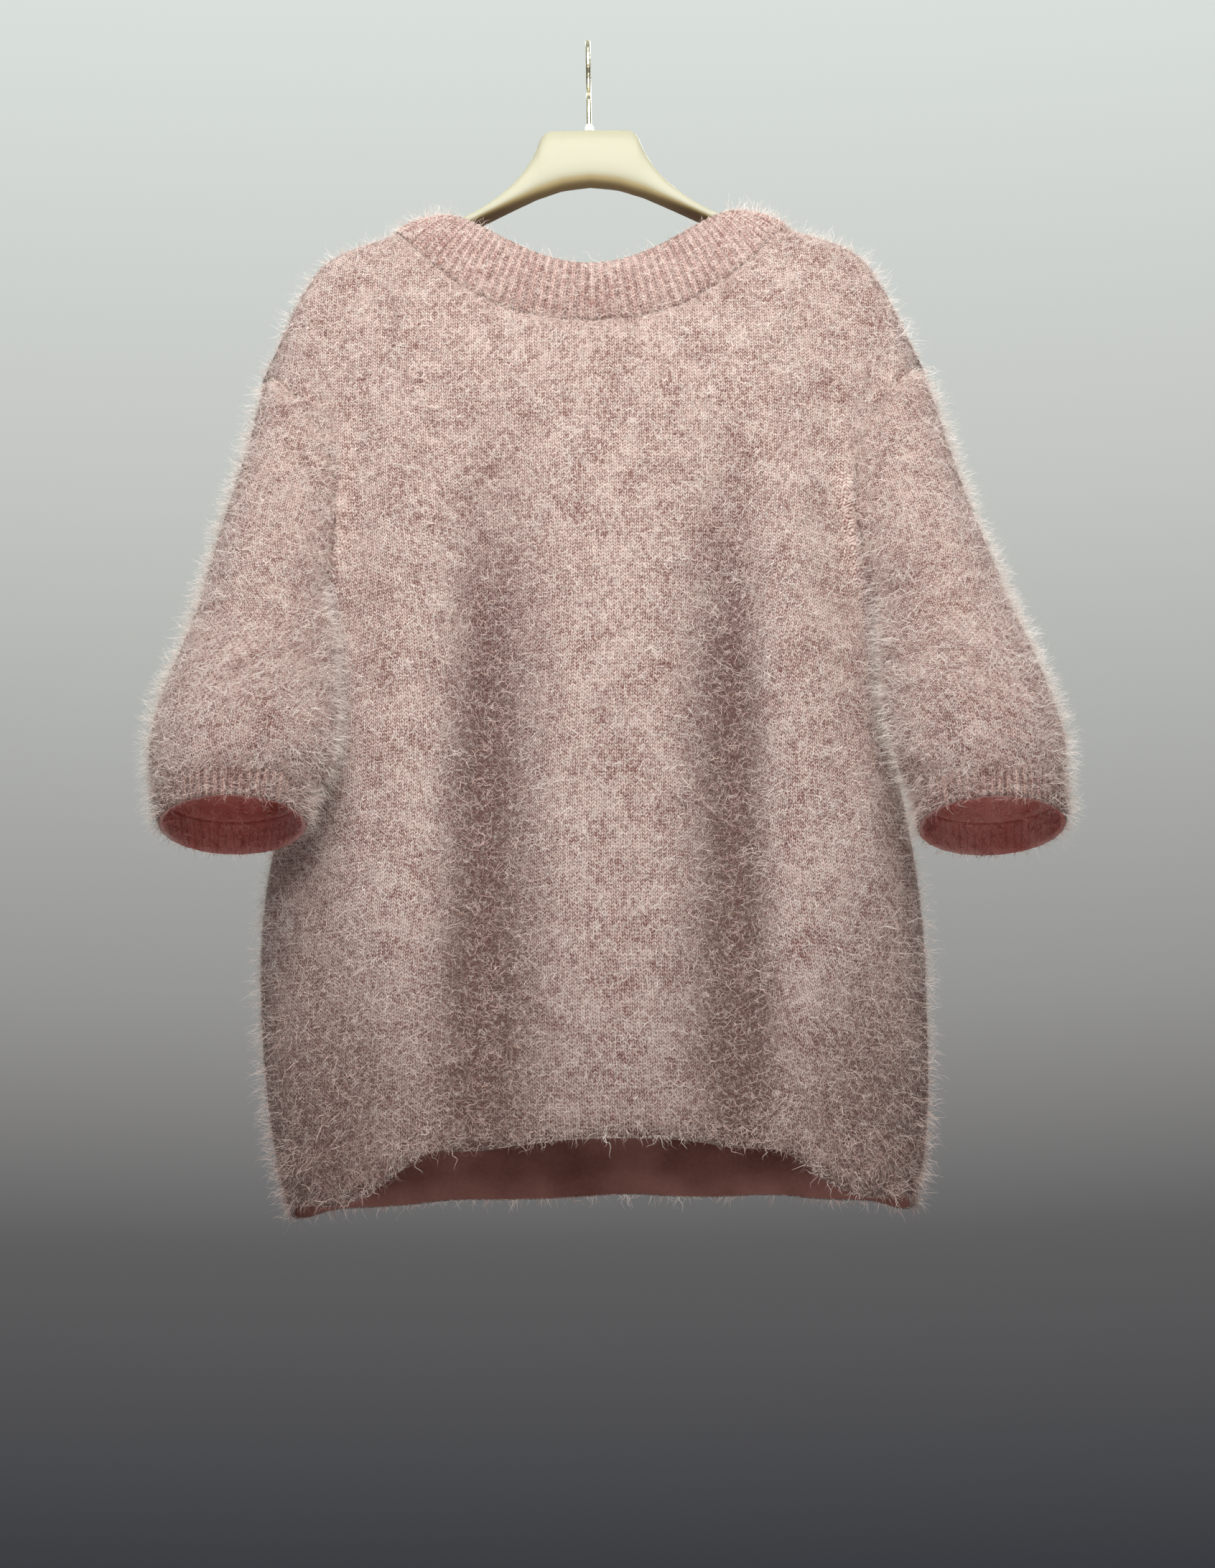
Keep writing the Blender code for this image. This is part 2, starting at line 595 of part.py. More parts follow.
class Cloth:
    """Grids of outer points that meet along seams, thickened inwards by one shared set of normals."""

    def __init__(self):
        self.grids = {}
        self.shared = {}

    def add(self, name, grid, wrap, inside, closed_from=None):
        """inside is a point of the hollow that this piece's inner skin faces, for each row."""
        normals = skin_normals(grid, wrap, closed_from)
        if ((grid - inside) * normals).sum() < 0:
            normals = -normals
        self.grids[name] = (grid, normals, wrap)
        for point, normal in zip(grid.reshape(-1, 3), normals.reshape(-1, 3)):
            key = seam_key(point)
            self.shared[key] = self.shared.get(key, 0) + normal

    def set_underarm(self, point):
        """Where body and sleeve hang down from the underarm, the thickness points straight up."""
        self.shared[seam_key(point)] = np.array([0.0, 0.0, -1.0])

    def skins(self, name):
        """The outer and inner grids before the seams are parted, and the wrap."""
        grid, _, wrap = self.grids[name]
        normals = [unit(self.shared[seam_key(point)]) for point in grid.reshape(-1, 3)]
        inner = grid - WALL * np.array(normals).reshape(grid.shape)
        return grid.copy(), inner, wrap


def seam_side(edge, inner_edge, into, wrap):
    """At each point of a seam, the direction square to the seam and to the thickness, on into's side."""
    ends = np.concatenate([edge[-1:], edge, edge[:1]]) if wrap else edge
    along = np.gradient(ends, axis=0)
    along = unit(along[1:-1] if wrap else along)
    across = unit(np.cross(along, edge - inner_edge))
    return across * np.where((into * across).sum(-1, keepdims=True) < 0, -1, 1)


def part_edge(outer, inner, place, into, wrap=False):
    """Draws one edge of a piece back from its seam by half the gap."""
    shift = seam_side(outer[place], inner[place], np.asarray(into, float), wrap) * SEAM_GAP / 2
    outer[place] += shift
    inner[place] += shift


# Ribbed bands, which start on the edge of the piece that they are knitted onto


def resample(edge, inner_edge, places, count):
    """The same closed seam with count points, read straight between its own points."""
    wanted = np.linspace(0, 2 * math.pi, count, endpoint=False)
    places = np.append(places, places[0] + 2 * math.pi)
    found = []
    for line in (edge, inner_edge):
        closed = np.concatenate([line, line[:1]])
        read = [np.interp(wanted, places, closed[:, axis]) for axis in range(3)]
        found.append(np.stack(read, axis=1))
    return wanted, found[0], found[1]


def ribbed(name, rows, first_inner, rib_height, inside, finish):
    """A band from rows of outer points. Each second point stands out as a rib, over a plain inside."""
    rows = np.array(rows)
    normals = skin_normals(rows, True)
    if ((rows - inside) * normals).sum() < 0:
        normals = -normals
    inner = rows - BAND_WALL * normals
    inner[0] = first_inner
    ribs = np.zeros(rows.shape[:2])
    ribs[1:-1, ::2] = rib_height
    ribs[-1, ::2] = rib_height / 2
    outer = rows + ribs[..., None] * normals
    part_edge(outer, inner, 0, rows[1] - rows[0], wrap=True)
    return wall(name, outer, inner, True, finish)


def neck_edge(turn):
    """The neckband's open edge. turn is 0 at the right shoulder and a quarter turn at the front's middle."""
    front = np.sin(turn) > 0
    swing = np.abs(np.sin(turn))
    across = NECK_EDGE_HALF * np.cos(turn)
    drop = np.where(front, FRONT_EDGE_DROP, BACK_EDGE_DROP) * swing**2.8
    depth = np.where(front, -FRONT_EDGE_DEPTH, BACK_EDGE_DEPTH) * swing
    return np.stack([across, depth, DROOP.at("height", NECK_EDGE_HALF) - drop], axis=1)


def neckband(cloth, finish):
    middle = slice(SIDE_COLUMNS - NECK_COLUMNS, SIDE_COLUMNS + NECK_COLUMNS + 1)
    edges = []
    for skin in (0, 1):
        front = cloth.skins("front")[skin][0, middle][::-1]
        back = cloth.skins("back")[skin][0, middle]
        edges.append(np.concatenate([front, back[1:-1]]))
    quarter = np.radians(90 - np.array(NECK_TURNS[::-1]))[:-1]
    places = np.concatenate([quarter, math.pi - quarter[:0:-1], math.pi + quarter, 2 * math.pi - quarter[:0:-1]])
    places = np.sort(np.unique(np.round(np.append(places, [math.pi / 2, 3 * math.pi / 2]), 9)))
    turn, seam, seam_inner = resample(edges[0], edges[1], places, 2 * NECK_RIBS)
    open_edge = neck_edge(turn)
    rows = []
    for share in (0.0, 0.12, 0.55, 1.0):
        row = seam * (1 - share) + open_edge * share
        over_arm = round_top(row[:, 0], row[:, 2])
        swell = BAND_SWELL * 4 * share * (1 - share)
        flat = np.abs(row[:, 1]) + swell
        over_arm *= np.clip(np.abs(np.sin(turn)) / 0.10, 0, 1)
        depth = np.where(share > 0, np.maximum(flat, over_arm), flat)
        row[:, 1] = np.copysign(depth, row[:, 1])
        row[:, 2] += swell * (1 - np.abs(np.sin(turn)))
        rows.append(row)
    inside = np.array([0.0, 0.0, -0.23])
    return ribbed("neckband", rows, seam_inner, NECK_RIB_HEIGHT, inside, finish)


def cuff(cloth, side, finish):
    outer, inner, _ = cloth.skins("sleeve_" + side)
    places = np.linspace(0, 2 * math.pi, SLEEVE_COLUMNS, endpoint=False)
    middle_x, half_x, middle_y, half_y = section(side, CUFF_TOPS[side])
    centre = np.array([SIDES[side] * middle_x, middle_y, CUFF_TOPS[side] - CUFF_DEPTH])
    _, seam, seam_inner = resample(outer[-1, :-1], inner[-1, :-1], places, 2 * CUFF_RIBS)
    spread = (seam - centre) / np.array([half_x, half_y, CUFF_DEPTH])
    edge = centre + spread * np.array([CUFF_EDGE_HALF_X, CUFF_EDGE_HALF_Y, 0.0])
    rows = [seam * (1 - share) + edge * share for share in (0.0, 0.16, 1.0)]
    inside = centre + np.array([0, 0, CUFF_DEPTH / 2])
    return ribbed("cuff_" + side, rows, seam_inner, CUFF_RIB_HEIGHT, inside, finish)


def garment():
    mohair, ribbing = material("mohair"), material("ribbing")
    front, back = panel("front"), panel("back")
    # The two skins meet exactly along the side seams and the shoulder seams.
    for column in (0, -1):
        back[YOKE_ROWS:, column] = front[YOKE_ROWS:, column]
    for columns in (slice(0, SIDE_COLUMNS - NECK_COLUMNS + 1), slice(SIDE_COLUMNS + NECK_COLUMNS, None)):
        front[0, columns, 1] = 0.0
        back[0, columns, 1] = 0.0
    cloth = Cloth()
    hollow = np.array([0.0, 0.0, 0.0]) + np.array([0, 0, 1]) * np.minimum(front[:, :, 2:], -0.24)
    hollow[..., 0] = front[..., 0] * 0.8
    cloth.add("front", front, False, hollow)
    cloth.add("back", back, False, hollow)
    closed_from = {}
    for side in SIDES:
        grid, closed_from[side] = sleeve(front, back, side)
        height = grid[..., 2]
        middle_x, _, middle_y, _ = section(side, height)
        centres = np.stack([SIDES[side] * middle_x, middle_y, height - 0.01], axis=-1)
        cloth.add("sleeve_" + side, grid, False, centres, closed_from[side])
        cloth.set_underarm(grid[closed_from[side], 0])
    neckband(cloth, ribbing)
    for side, way in SIDES.items():
        cuff(cloth, side, ribbing)
        outer, inner, _ = cloth.skins("sleeve_" + side)
        part_edge(outer, inner, armhole_places(closed_from[side]), (way, 0, 0), wrap=True)
        part_edge(outer, inner, (-1, slice(0, -1)), (0, 0, 1), wrap=True)
        lowest = slice(closed_from[side] - 1, closed_from[side] + 1)
        inner[lowest, ::SLEEVE_COLUMNS, 0] += way * UNDERARM_SPREAD
        for skin in (outer, inner):
            skin[0] = over_the_top(skin[0, [0, SLEEVE_COLUMNS // 2, -1]])
        wall("sleeve_" + side, outer, inner, False, mohair, closed_from[side])
    for facing, way in FACINGS.items():
        outer, inner, _ = cloth.skins(facing)
        neck = np.abs(outer[0, :, 0]) / NECK_HALF
        into = np.stack([outer[0, :, 0], np.zeros_like(neck), np.full_like(neck, -0.1)], axis=1)
        into[neck > 0.999] = (0.0, way, 0.0)
        for corner in (SIDE_COLUMNS - NECK_COLUMNS, SIDE_COLUMNS + NECK_COLUMNS):
            into[corner] = (np.sign(outer[0, corner, 0]), way, 0.0)
        part_edge(outer, inner, 0, into)
        for column, side in ((0, -1), (-1, 1)):
            corners = outer[YOKE_ROWS, column].copy(), inner[YOKE_ROWS, column].copy()
            into = np.tile([0.0, way, 0.0], (len(outer), 1))
            into[:YOKE_ROWS] = (-side, 0.0, 0.0)
            part_edge(outer, inner, (slice(None), column), into)
            # Three pieces meet at the underarm, so each draws back from it its own way.
            for skin, corner in zip((outer, inner), corners):
                skin[YOKE_ROWS, column] = corner + np.array([-side, way, 0.0]) * SEAM_GAP / 2
            inner[YOKE_ROWS - 1 : YOKE_ROWS + 1, column, 0] -= side * UNDERARM_SPREAD
        wall(facing, outer, inner, False, mohair)


# The hanger


def hanger_section(across, top, bottom, half_depth):
    """A rounded oblong across the arm, drawn from its top round the front."""
    turn = np.linspace(0, 2 * math.pi, HANGER_SIDES, endpoint=False) + math.pi / HANGER_SIDES
    square = 2 / 3.2
    y = -half_depth * np.sign(np.sin(turn)) * np.abs(np.sin(turn)) ** square
    z = (top - bottom) / 2 * np.sign(np.cos(turn)) * np.abs(np.cos(turn)) ** square
    return np.stack([np.full_like(y, across), y, z + (top + bottom) / 2], axis=1)


def hanger():
    half = np.concatenate(
        [np.linspace(0, 0.028, 4), [0.0308, 0.0335, 0.0356, 0.038], np.linspace(0.0436, 0.170, 12), [0.177, 0.180]]
    )
    stations = np.concatenate([-half[:0:-1], half])
    builder = bmesh.new()
    rings = []
    for x in stations:
        sizes = [HANGER.at(name, abs(x)) for name in HANGER.names[1:]]
        rings.append([builder.verts.new(point) for point in hanger_section(x, *sizes)])
    skin_faces(builder, rings, True, False)
    builder.faces.new(rings[0])
    builder.faces.new(rings[-1][::-1])
    bmesh.ops.recalc_face_normals(builder, faces=builder.faces)
    made = add_object("hanger", builder, material("hanger_plastic", 0.35))
    socket = turned("socket_cutter", [(WIRE / 2 + WIRE_CLEARANCE, -SOCKET_DEPTH), (WIRE / 2 + WIRE_CLEARANCE, 0.004)])
    socket.location.z = HANGER.at("top", 0.0)
    socket.hide_render = True
    socket.display_type = "WIRE"
    cut = made.modifiers.new("socket", "BOOLEAN")
    cut.operation = "DIFFERENCE"
    cut.object = socket
    return made


def turned(name, profile, finish=None, sides=16):
    """A solid turned about the Z axis from (radius, height) points, lowest first."""
    builder = bmesh.new()
    turn = np.linspace(0, 2 * math.pi, sides, endpoint=False)
    rings = [
        [builder.verts.new((radius * math.cos(a), radius * math.sin(a), height)) for a in turn]
        for radius, height in profile
    ]
    skin_faces(builder, rings, True, False)
    builder.faces.new(rings[0])
    builder.faces.new(rings[-1])
    bmesh.ops.recalc_face_normals(builder, faces=builder.faces)
    return add_object(name, builder, finish or material("collar_plastic"))


def hook_collar():
    """A small domed ferrule round the foot of the hook, sitting on the hanger's plate."""
    bore = WIRE / 2 + WIRE_CLEARANCE
    foot = HANGER.at("top", 0.0) + SEAM_GAP
    outside = [(COLLAR_RADIUS, 0.0), (COLLAR_RADIUS, 0.45), (COLLAR_RADIUS * 0.86, 0.8), (bore + 0.0004, 1.0)]
    inside = [(bore, 1.0), (bore, 0.0)]
    builder = bmesh.new()
    turn = np.linspace(0, 2 * math.pi, 16, endpoint=False)
    rings = [
        [builder.verts.new((r * math.cos(a), r * math.sin(a), foot + share * COLLAR_HEIGHT)) for a in turn]
        for r, share in outside + inside
    ]
    skin_faces(builder, rings + rings[:1], True, False)
    bmesh.ops.recalc_face_normals(builder, faces=builder.faces)
    return add_object("hook_collar", builder, material("collar_plastic", 0.4))


def hook():
    """A wire that stands in the hanger, swings back and comes round over the rail to the front."""
    bend = HOOK_RADIUS + WIRE / 2
    centre_z = -HOOK_RADIUS
    lead = 0.016  # how far below the bend's middle the stem starts to swing back
    path = [(0.0, HOOK_STEM_FOOT), (0.0, -0.060), (0.0, centre_z - bend - lead + 0.006)]
    start = (0.0, centre_z - bend - lead + 0.006)
    end = (bend, centre_z)
    for share in np.linspace(0, 1, 9)[1:-1]:
        away = (1 - share) ** 3
        lift = 3 * share * (1 - share) ** 2
        swing = 3 * share**2 * (1 - share)
        y = lift * 0.0 + swing * end[0] + share**3 * end[0]
        z = away * start[1] + lift * (start[1] + lead) + swing * (end[1] - lead) + share**3 * end[1]
        path.append((y, z))
    for angle in np.linspace(0, 200, 17):
        turn = math.radians(angle)
        path.append((bend * math.cos(turn), centre_z + bend * math.sin(turn)))
    curve = bpy.data.curves.new("hook", "CURVE")
    curve.dimensions = "3D"
    curve.bevel_depth = WIRE / 2
    curve.bevel_resolution = 3
    curve.use_fill_caps = True
    spline = curve.splines.new("POLY")
    spline.points.add(len(path) - 1)
    for point, (y, z) in zip(spline.points, path):
        point.co = (0.0, y, z, 1.0)
    curve.materials.append(material("hook_wire", 0.3, 1.0))
    made = bpy.data.objects.new("hook", curve)
    bpy.context.scene.collection.objects.link(made)
    return made


def main():
    for existing in list(bpy.data.objects):
        bpy.data.objects.remove(existing)
    garment()
    hanger()
    hook_collar()
    hook()


main()
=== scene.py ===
# %% [markdown]
# A mohair pullover on a moulded hanger
#
# This scene dresses the measured solids of a fluffy, dusty pink pullover that hangs from a cream
# plastic hanger. The solids give the sizes and the place of every piece. Here each knitted piece gets
# a smooth shell with its stitches, and then the thing that makes mohair what it is: tens of thousands
# of fine hairs that lie over the knitting and stand out as a pale halo round every edge.

# %% Load the frame
import math

import bpy
import numpy as np
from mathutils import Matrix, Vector
from mathutils.kdtree import KDTree


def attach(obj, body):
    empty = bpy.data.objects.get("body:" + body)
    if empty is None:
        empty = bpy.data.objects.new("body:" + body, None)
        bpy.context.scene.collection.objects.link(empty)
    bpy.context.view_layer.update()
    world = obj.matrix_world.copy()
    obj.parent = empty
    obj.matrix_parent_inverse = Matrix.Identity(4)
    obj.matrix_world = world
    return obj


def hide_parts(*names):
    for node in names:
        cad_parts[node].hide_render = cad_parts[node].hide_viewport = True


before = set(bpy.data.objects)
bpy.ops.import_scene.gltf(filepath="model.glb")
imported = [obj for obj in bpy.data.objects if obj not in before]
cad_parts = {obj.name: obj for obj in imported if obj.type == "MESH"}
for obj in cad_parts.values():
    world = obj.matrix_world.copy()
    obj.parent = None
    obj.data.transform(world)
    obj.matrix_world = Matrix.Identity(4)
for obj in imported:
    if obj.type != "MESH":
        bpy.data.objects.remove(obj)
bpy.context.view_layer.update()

bpy.ops.object.select_all(action="DESELECT")
print("nodes:", sorted(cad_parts))

# %% [markdown]
# The camera
#
# The photograph was taken from below: the camera stood low and looked up by 22 degrees, so that the
# viewer sees into the cuffs and under the hem. A lens a little over 100 mm on a sheet 36 mm high keeps
# the sides of the garment nearly parallel. The picture is turned by about a degree.

# %% Camera
CAMERA_PLACE = (0.0, -2.834, -1.711)
CAMERA_RISE = 22.0  # degrees above the horizontal
CAMERA_ROLL = -0.95
CAMERA_SHIFT = 0.0047  # as a share of the picture's height
LENS_MM = 105.2

camera_data = bpy.data.cameras.new("photo_camera")
camera_data.sensor_fit = "VERTICAL"
camera_data.sensor_height = 36.0
camera_data.lens = LENS_MM
camera_data.shift_x = CAMERA_SHIFT
camera_data.clip_end = 50.0
camera = bpy.data.objects.new("photo_camera", camera_data)
bpy.context.scene.collection.objects.link(camera)
camera.location = CAMERA_PLACE
camera.rotation_mode = "ZYX"  # the roll comes first, about the line of sight
camera.rotation_euler = (math.radians(90 + CAMERA_RISE), 0.0, math.radians(CAMERA_ROLL))
bpy.context.scene.camera = camera
print("camera looks up by", CAMERA_RISE, "degrees")

# %% [markdown]
# Light
#
# The photograph has one broad soft light above and a little in front, and almost nothing from below:
# the shoulders and the hanger are bright and the hem sinks into shade. A large area lamp does that, and
# weak ones fill the front and the inside from below. A lamp behind makes the halo of hairs shine. The
# sky is a pale grey that darkens towards the floor, and it is dimmer behind the camera.

# %% Lights, sky and floor
# How bright the sky is at each height. height is the upward part of a ray's direction.
SKY = (
    {"height": 0.100, "colour": (0.300, 0.300, 0.310)},
    {"height": 0.205, "colour": (0.036, 0.040, 0.048)},
    {"height": 0.280, "colour": (0.115, 0.112, 0.114)},
    {"height": 0.330, "colour": (0.300, 0.298, 0.290)},
    {"height": 0.430, "colour": (0.540, 0.555, 0.530)},
    {"height": 0.530, "colour": (0.710, 0.757, 0.725)},
)
ROOM_SHARE = 0.30  # how bright the room behind the camera is beside the wall behind the garment
ROOM_TURN = (-0.35, 0.60)  # the backward part of a ray's direction where the room gives way to the wall
FLOOR_HEIGHT = -2.30
FLOOR_SIZE = 14.0


def area_lamp(name, place, target, size, spread, watts, colour):
    lamp = bpy.data.lights.new(name, "AREA")
    lamp.shape = "RECTANGLE"
    lamp.size, lamp.size_y = size
    lamp.spread = math.radians(spread)
    lamp.energy = watts
    lamp.color = colour
    made = bpy.data.objects.new(name, lamp)
    bpy.context.scene.collection.objects.link(made)
    made.location = place
    made.rotation_euler = (Vector(target) - Vector(place)).to_track_quat("-Z", "Y").to_euler()


area_lamp("top_light", (0.0, -1.30, 0.75), (0.0, 0.0, -0.24), (1.3, 0.7), 80, 8.4, (1.0, 0.975, 0.935))
area_lamp("front_fill", (0.0, -3.0, 0.3), (0.0, 0.0, -0.29), (1.0, 0.8), 38, 2.5, (0.98, 0.98, 1.0))
area_lamp("floor_glow", (0.0, -1.3, -1.95), (0.0, 0.0, -0.62), (1.2, 0.6), 60, 1.0, (1.0, 0.90, 0.88))
area_lamp("back_light", (0.3, 1.7, 0.9), (0.0, 0.0, -0.40), (1.4, 0.9), 90, 9.0, (1.0, 0.98, 0.95))

world = bpy.data.worlds.new("studio")
bpy.context.scene.world = world
world.use_nodes = True
sky = world.node_tree
place = sky.nodes.new("ShaderNodeTexCoord")
split = sky.nodes.new("ShaderNodeSeparateXYZ")
ramp = sky.nodes.new("ShaderNodeValToRGB")
while len(ramp.color_ramp.elements) < len(SKY):
    ramp.color_ramp.elements.new(0.5)
for element, stop in zip(ramp.color_ramp.elements, SKY):
    element.position = stop["height"]
    element.color = (*stop["colour"], 1.0)
ahead = sky.nodes.new("ShaderNodeMapRange")
ahead.interpolation_type = "SMOOTHSTEP"
ahead.inputs["From Min"].default_value, ahead.inputs["From Max"].default_value = ROOM_TURN
ahead.inputs["To Min"].default_value = ROOM_SHARE
ahead.inputs["To Max"].default_value = 1.0
dimmed = sky.nodes.new("ShaderNodeVectorMath")
dimmed.operation = "SCALE"
sky.links.new(place.outputs["Generated"], split.inputs[0])
sky.links.new(split.outputs["Z"], ramp.inputs["Fac"])
sky.links.new(split.outputs["Y"], ahead.inputs["Value"])
sky.links.new(ramp.outputs["Color"], dimmed.inputs[0])
sky.links.new(ahead.outputs["Result"], dimmed.inputs["Scale"])
sky.links.new(dimmed.outputs["Vector"], sky.nodes["Background"].inputs["Color"])
sky.nodes["Background"].inputs["Strength"].default_value = 1.0
bpy.context.scene.view_settings.view_transform = "Standard"

bpy.ops.mesh.primitive_plane_add(size=FLOOR_SIZE, location=(0.0, 0.0, FLOOR_HEIGHT))
floor = bpy.context.active_object
floor.name = "floor"
floor_finish = bpy.data.materials.new("pale_floor")
floor_finish.use_nodes = True
floor_shader = floor_finish.node_tree.nodes["Principled BSDF"]
floor_shader.inputs["Base Color"].default_value = (0.62, 0.62, 0.63, 1.0)
floor_shader.inputs["Roughness"].default_value = 0.9
floor.data.materials.append(floor_finish)
bpy.ops.object.select_all(action="DESELECT")
print("lamps:", len(bpy.data.lights))

# %% [markdown]
# Sizes as tables
#
# A garment that hangs has no straight lines, but it can be told in a few sizes: how wide and deep it is
# at a few heights, where its shoulders droop and where its folds run. Each table below has named
# columns, and a smooth curve through a column gives the size at any height in between.

# %% Curves and tables
def smooth(places, values, where):
    """A curve through (places, values) that never overshoots them, read at where."""
    places, values, where = (np.asarray(a, float) for a in (places, values, where))
    widths = np.diff(places)
    slopes = np.diff(values) / widths
    tangents = np.concatenate([slopes[:1], np.zeros(len(places) - 2), slopes[-1:]])
    before, after = slopes[:-1], slopes[1:]
    same_way = before * after > 0
    inner = tangents[1:-1]
    inner[same_way] = 2 * before[same_way] * after[same_way] / (before + after)[same_way]
    i = np.clip(np.searchsorted(places, where) - 1, 0, len(places) - 2)
    t = np.clip((where - places[i]) / widths[i], 0, 1)
    rise = widths[i] * (t * (1 - t) ** 2 * tangents[i] - t * t * (1 - t) * tangents[i + 1])
    return values[i] * (1 + 2 * t) * (1 - t) ** 2 + values[i + 1] * t * t * (3 - 2 * t) + rise


def ease(t):
    """0 below 0, 1 above 1 and a soft step between."""
    t = np.clip(t, 0, 1)
    return t * t * (3 - 2 * t)


def unit(vectors):
    return vectors / np.maximum(np.linalg.norm(vectors, axis=-1, keepdims=True), 1e-12)


class Table:
    """Rows of sizes with named columns. The first column is the place that the others are read at."""

    def __init__(self, names, *rows):
        self.names = names.split()
        self.rows = rows

    def column(self, name):
        return [row[self.names.index(name)] for row in self.rows]

    def at(self, name, where):
        return smooth(self.column(self.names[0]), self.column(name), where)

    def records(self):
        return [dict(zip(self.names, row)) for row in self.rows]


# %% The body's sizes
NECK_TURNS = (0, 14, 28, 42, 55, 66, 74, 80, 85, 90)  # degrees round the neckline to the shoulder seam
NECK_COLUMNS = len(NECK_TURNS) - 1
SIDE_COLUMNS = NECK_COLUMNS + 8
YOKE_ROWS = 11
SKIRT_ROWS = 9
SECTION_POWER = 2.6  # how square the body's section is, where 2 is an ellipse
SECTION_RATIO = 0.27
NECK_HALF = 0.137
NECK_EDGE_HALF = 0.104
NECK_CURVE = 2.4
FRONT_SEAM_DROP = 0.090
BACK_SEAM_DROP = 0.044
UNDERARM = -0.470
ARMHOLE_PULL = 0.1425
ARMHOLE_LIFT = 0.034
SHOULDER_REACH = 0.080
TOP_POWER = 3.0
EDGE_COLUMNS = 4

# Where the shoulder droops past the hanger's tip, and how deep and tall its round top is.
DROOP = Table(
    "across height round_depth round_height",
    (0.104, -0.1398, 0.0165, 0.019),
    (0.137, -0.1518, 0.0170, 0.019),
    (0.165, -0.1621, 0.0180, 0.020),
    (0.184, -0.1692, 0.0190, 0.022),
    (0.1955, -0.1860, 0.0210, 0.024),
    (0.209, -0.2130, 0.0235, 0.026),
    (0.229, -0.2620, 0.0260, 0.028),
)

# The body from the underarm to the hem. centre is how far its middle hangs off the hook's line.
BODY = Table(
    "drop half_width centre front_depth back_depth side_y",
    (-0.850, 0.2020, -0.003, 0.0560, 0.0660, 0.020),
    (-0.835, 0.2080, -0.003, 0.0590, 0.0700, 0.020),
    (-0.800, 0.2140, -0.004, 0.0620, 0.0710, 0.020),
    (-0.740, 0.2185, -0.006, 0.0600, 0.0670, 0.020),
    (-0.670, 0.2200, -0.007, 0.0570, 0.0610, 0.020),
    (-0.600, 0.2130, -0.006, 0.0550, 0.0560, 0.020),
    (-0.540, 0.2010, -0.004, 0.0540, 0.0500, 0.018),
    (-0.500, 0.1940, -0.002, 0.0540, 0.0470, 0.015),
    (-0.470, 0.1930, 0.000, 0.0540, 0.0450, 0.012),
    (-0.150, 0.1930, 0.000, 0.0520, 0.0400, 0.000),
)
ARMHOLE = Table(
    "share front_y back_y",
    (0.00, 0.000, 0.000),
    (0.05, -0.019, 0.018),
    (0.12, -0.0265, 0.025),
    (0.30, -0.0325, 0.029),
    (0.55, -0.0365, 0.033),
    (0.80, -0.0355, 0.035),
    (0.90, -0.0270, 0.0315),
    (0.95, -0.0110, 0.0235),
    (1.00, 0.012, 0.012),
)
HEM = -0.832
HEM_SAG = 0.014  # how much lower the hem hangs at the side seams
HEM_CORNER = 0.024  # how much lower still the front droops towards its corners

# Soft troughs, and ridges where depth is negative. inner and outer are the widths of their two flanks.
FOLDS = "top_x hem_x depth inner outer start full fade"
FRONT_FOLDS = Table(
    FOLDS,
    (-0.074, -0.084, 0.032, 0.036, 0.020, -0.26, -0.58, -1.00),
    (0.092, 0.090, 0.036, 0.028, 0.015, -0.27, -0.58, -1.00),
    (0.006, 0.006, -0.005, 0.040, 0.040, -0.30, -0.60, -1.00),
    (-0.136, -0.134, -0.008, 0.022, 0.026, -0.24, -0.45, -1.00),
    (0.132, 0.130, -0.010, 0.016, 0.026, -0.24, -0.45, -1.00),
    (-0.196, -0.196, 0.009, 0.034, 0.030, -0.42, -0.54, -0.78),
    (0.202, 0.202, 0.008, 0.030, 0.030, -0.42, -0.54, -0.78),
)
BACK_FOLDS = Table(
    FOLDS,
    (-0.095, -0.104, 0.024, 0.030, 0.018, -0.26, -0.56, -1.00),
    (0.020, 0.014, 0.015, 0.028, 0.024, -0.34, -0.66, -1.00),
    (0.102, 0.112, 0.026, 0.030, 0.018, -0.28, -0.60, -1.00),
)

# %% [markdown]
# The body's surface
#
# The body is a tube that narrows to a line over the shoulders. Each point of its grid is placed by
# walking from the neckline or shoulder down to the hem. Near the shoulder line the cloth bends over
# the hanger's arm, further down it swings out to its full depth, and the folds are drawn in last.

# %% Shoulder line and folds
def shoulder_height(across):
    """The outside of the cloth along its top: over the hanger's arm, then drooping past its tip."""
    inside_neck = np.interp(across, [0.0, NECK_EDGE_HALF], [-0.105, DROOP.at("height", NECK_EDGE_HALF)])
    return np.where(across < NECK_EDGE_HALF, inside_neck, DROOP.at("height", across))


def shoulder_polyline(count=90):
    across = np.linspace(0.0, DROOP.column("across")[-1], count)
    return np.stack([across, shoulder_height(across)], axis=1)


SHOULDER = shoulder_polyline()


def below_shoulder(x, z):
    """How far each point lies from the shoulder line, as the garment is seen from the front."""
    points = np.stack([np.abs(x), z], axis=-1)[..., None, :]
    starts, runs = SHOULDER[:-1], np.diff(SHOULDER, axis=0)
    share = ((points - starts) * runs).sum(-1) / (runs * runs).sum(-1)
    nearest = starts + np.clip(share, 0, 1)[..., None] * runs
    return np.linalg.norm(points - nearest, axis=-1).min(-1)


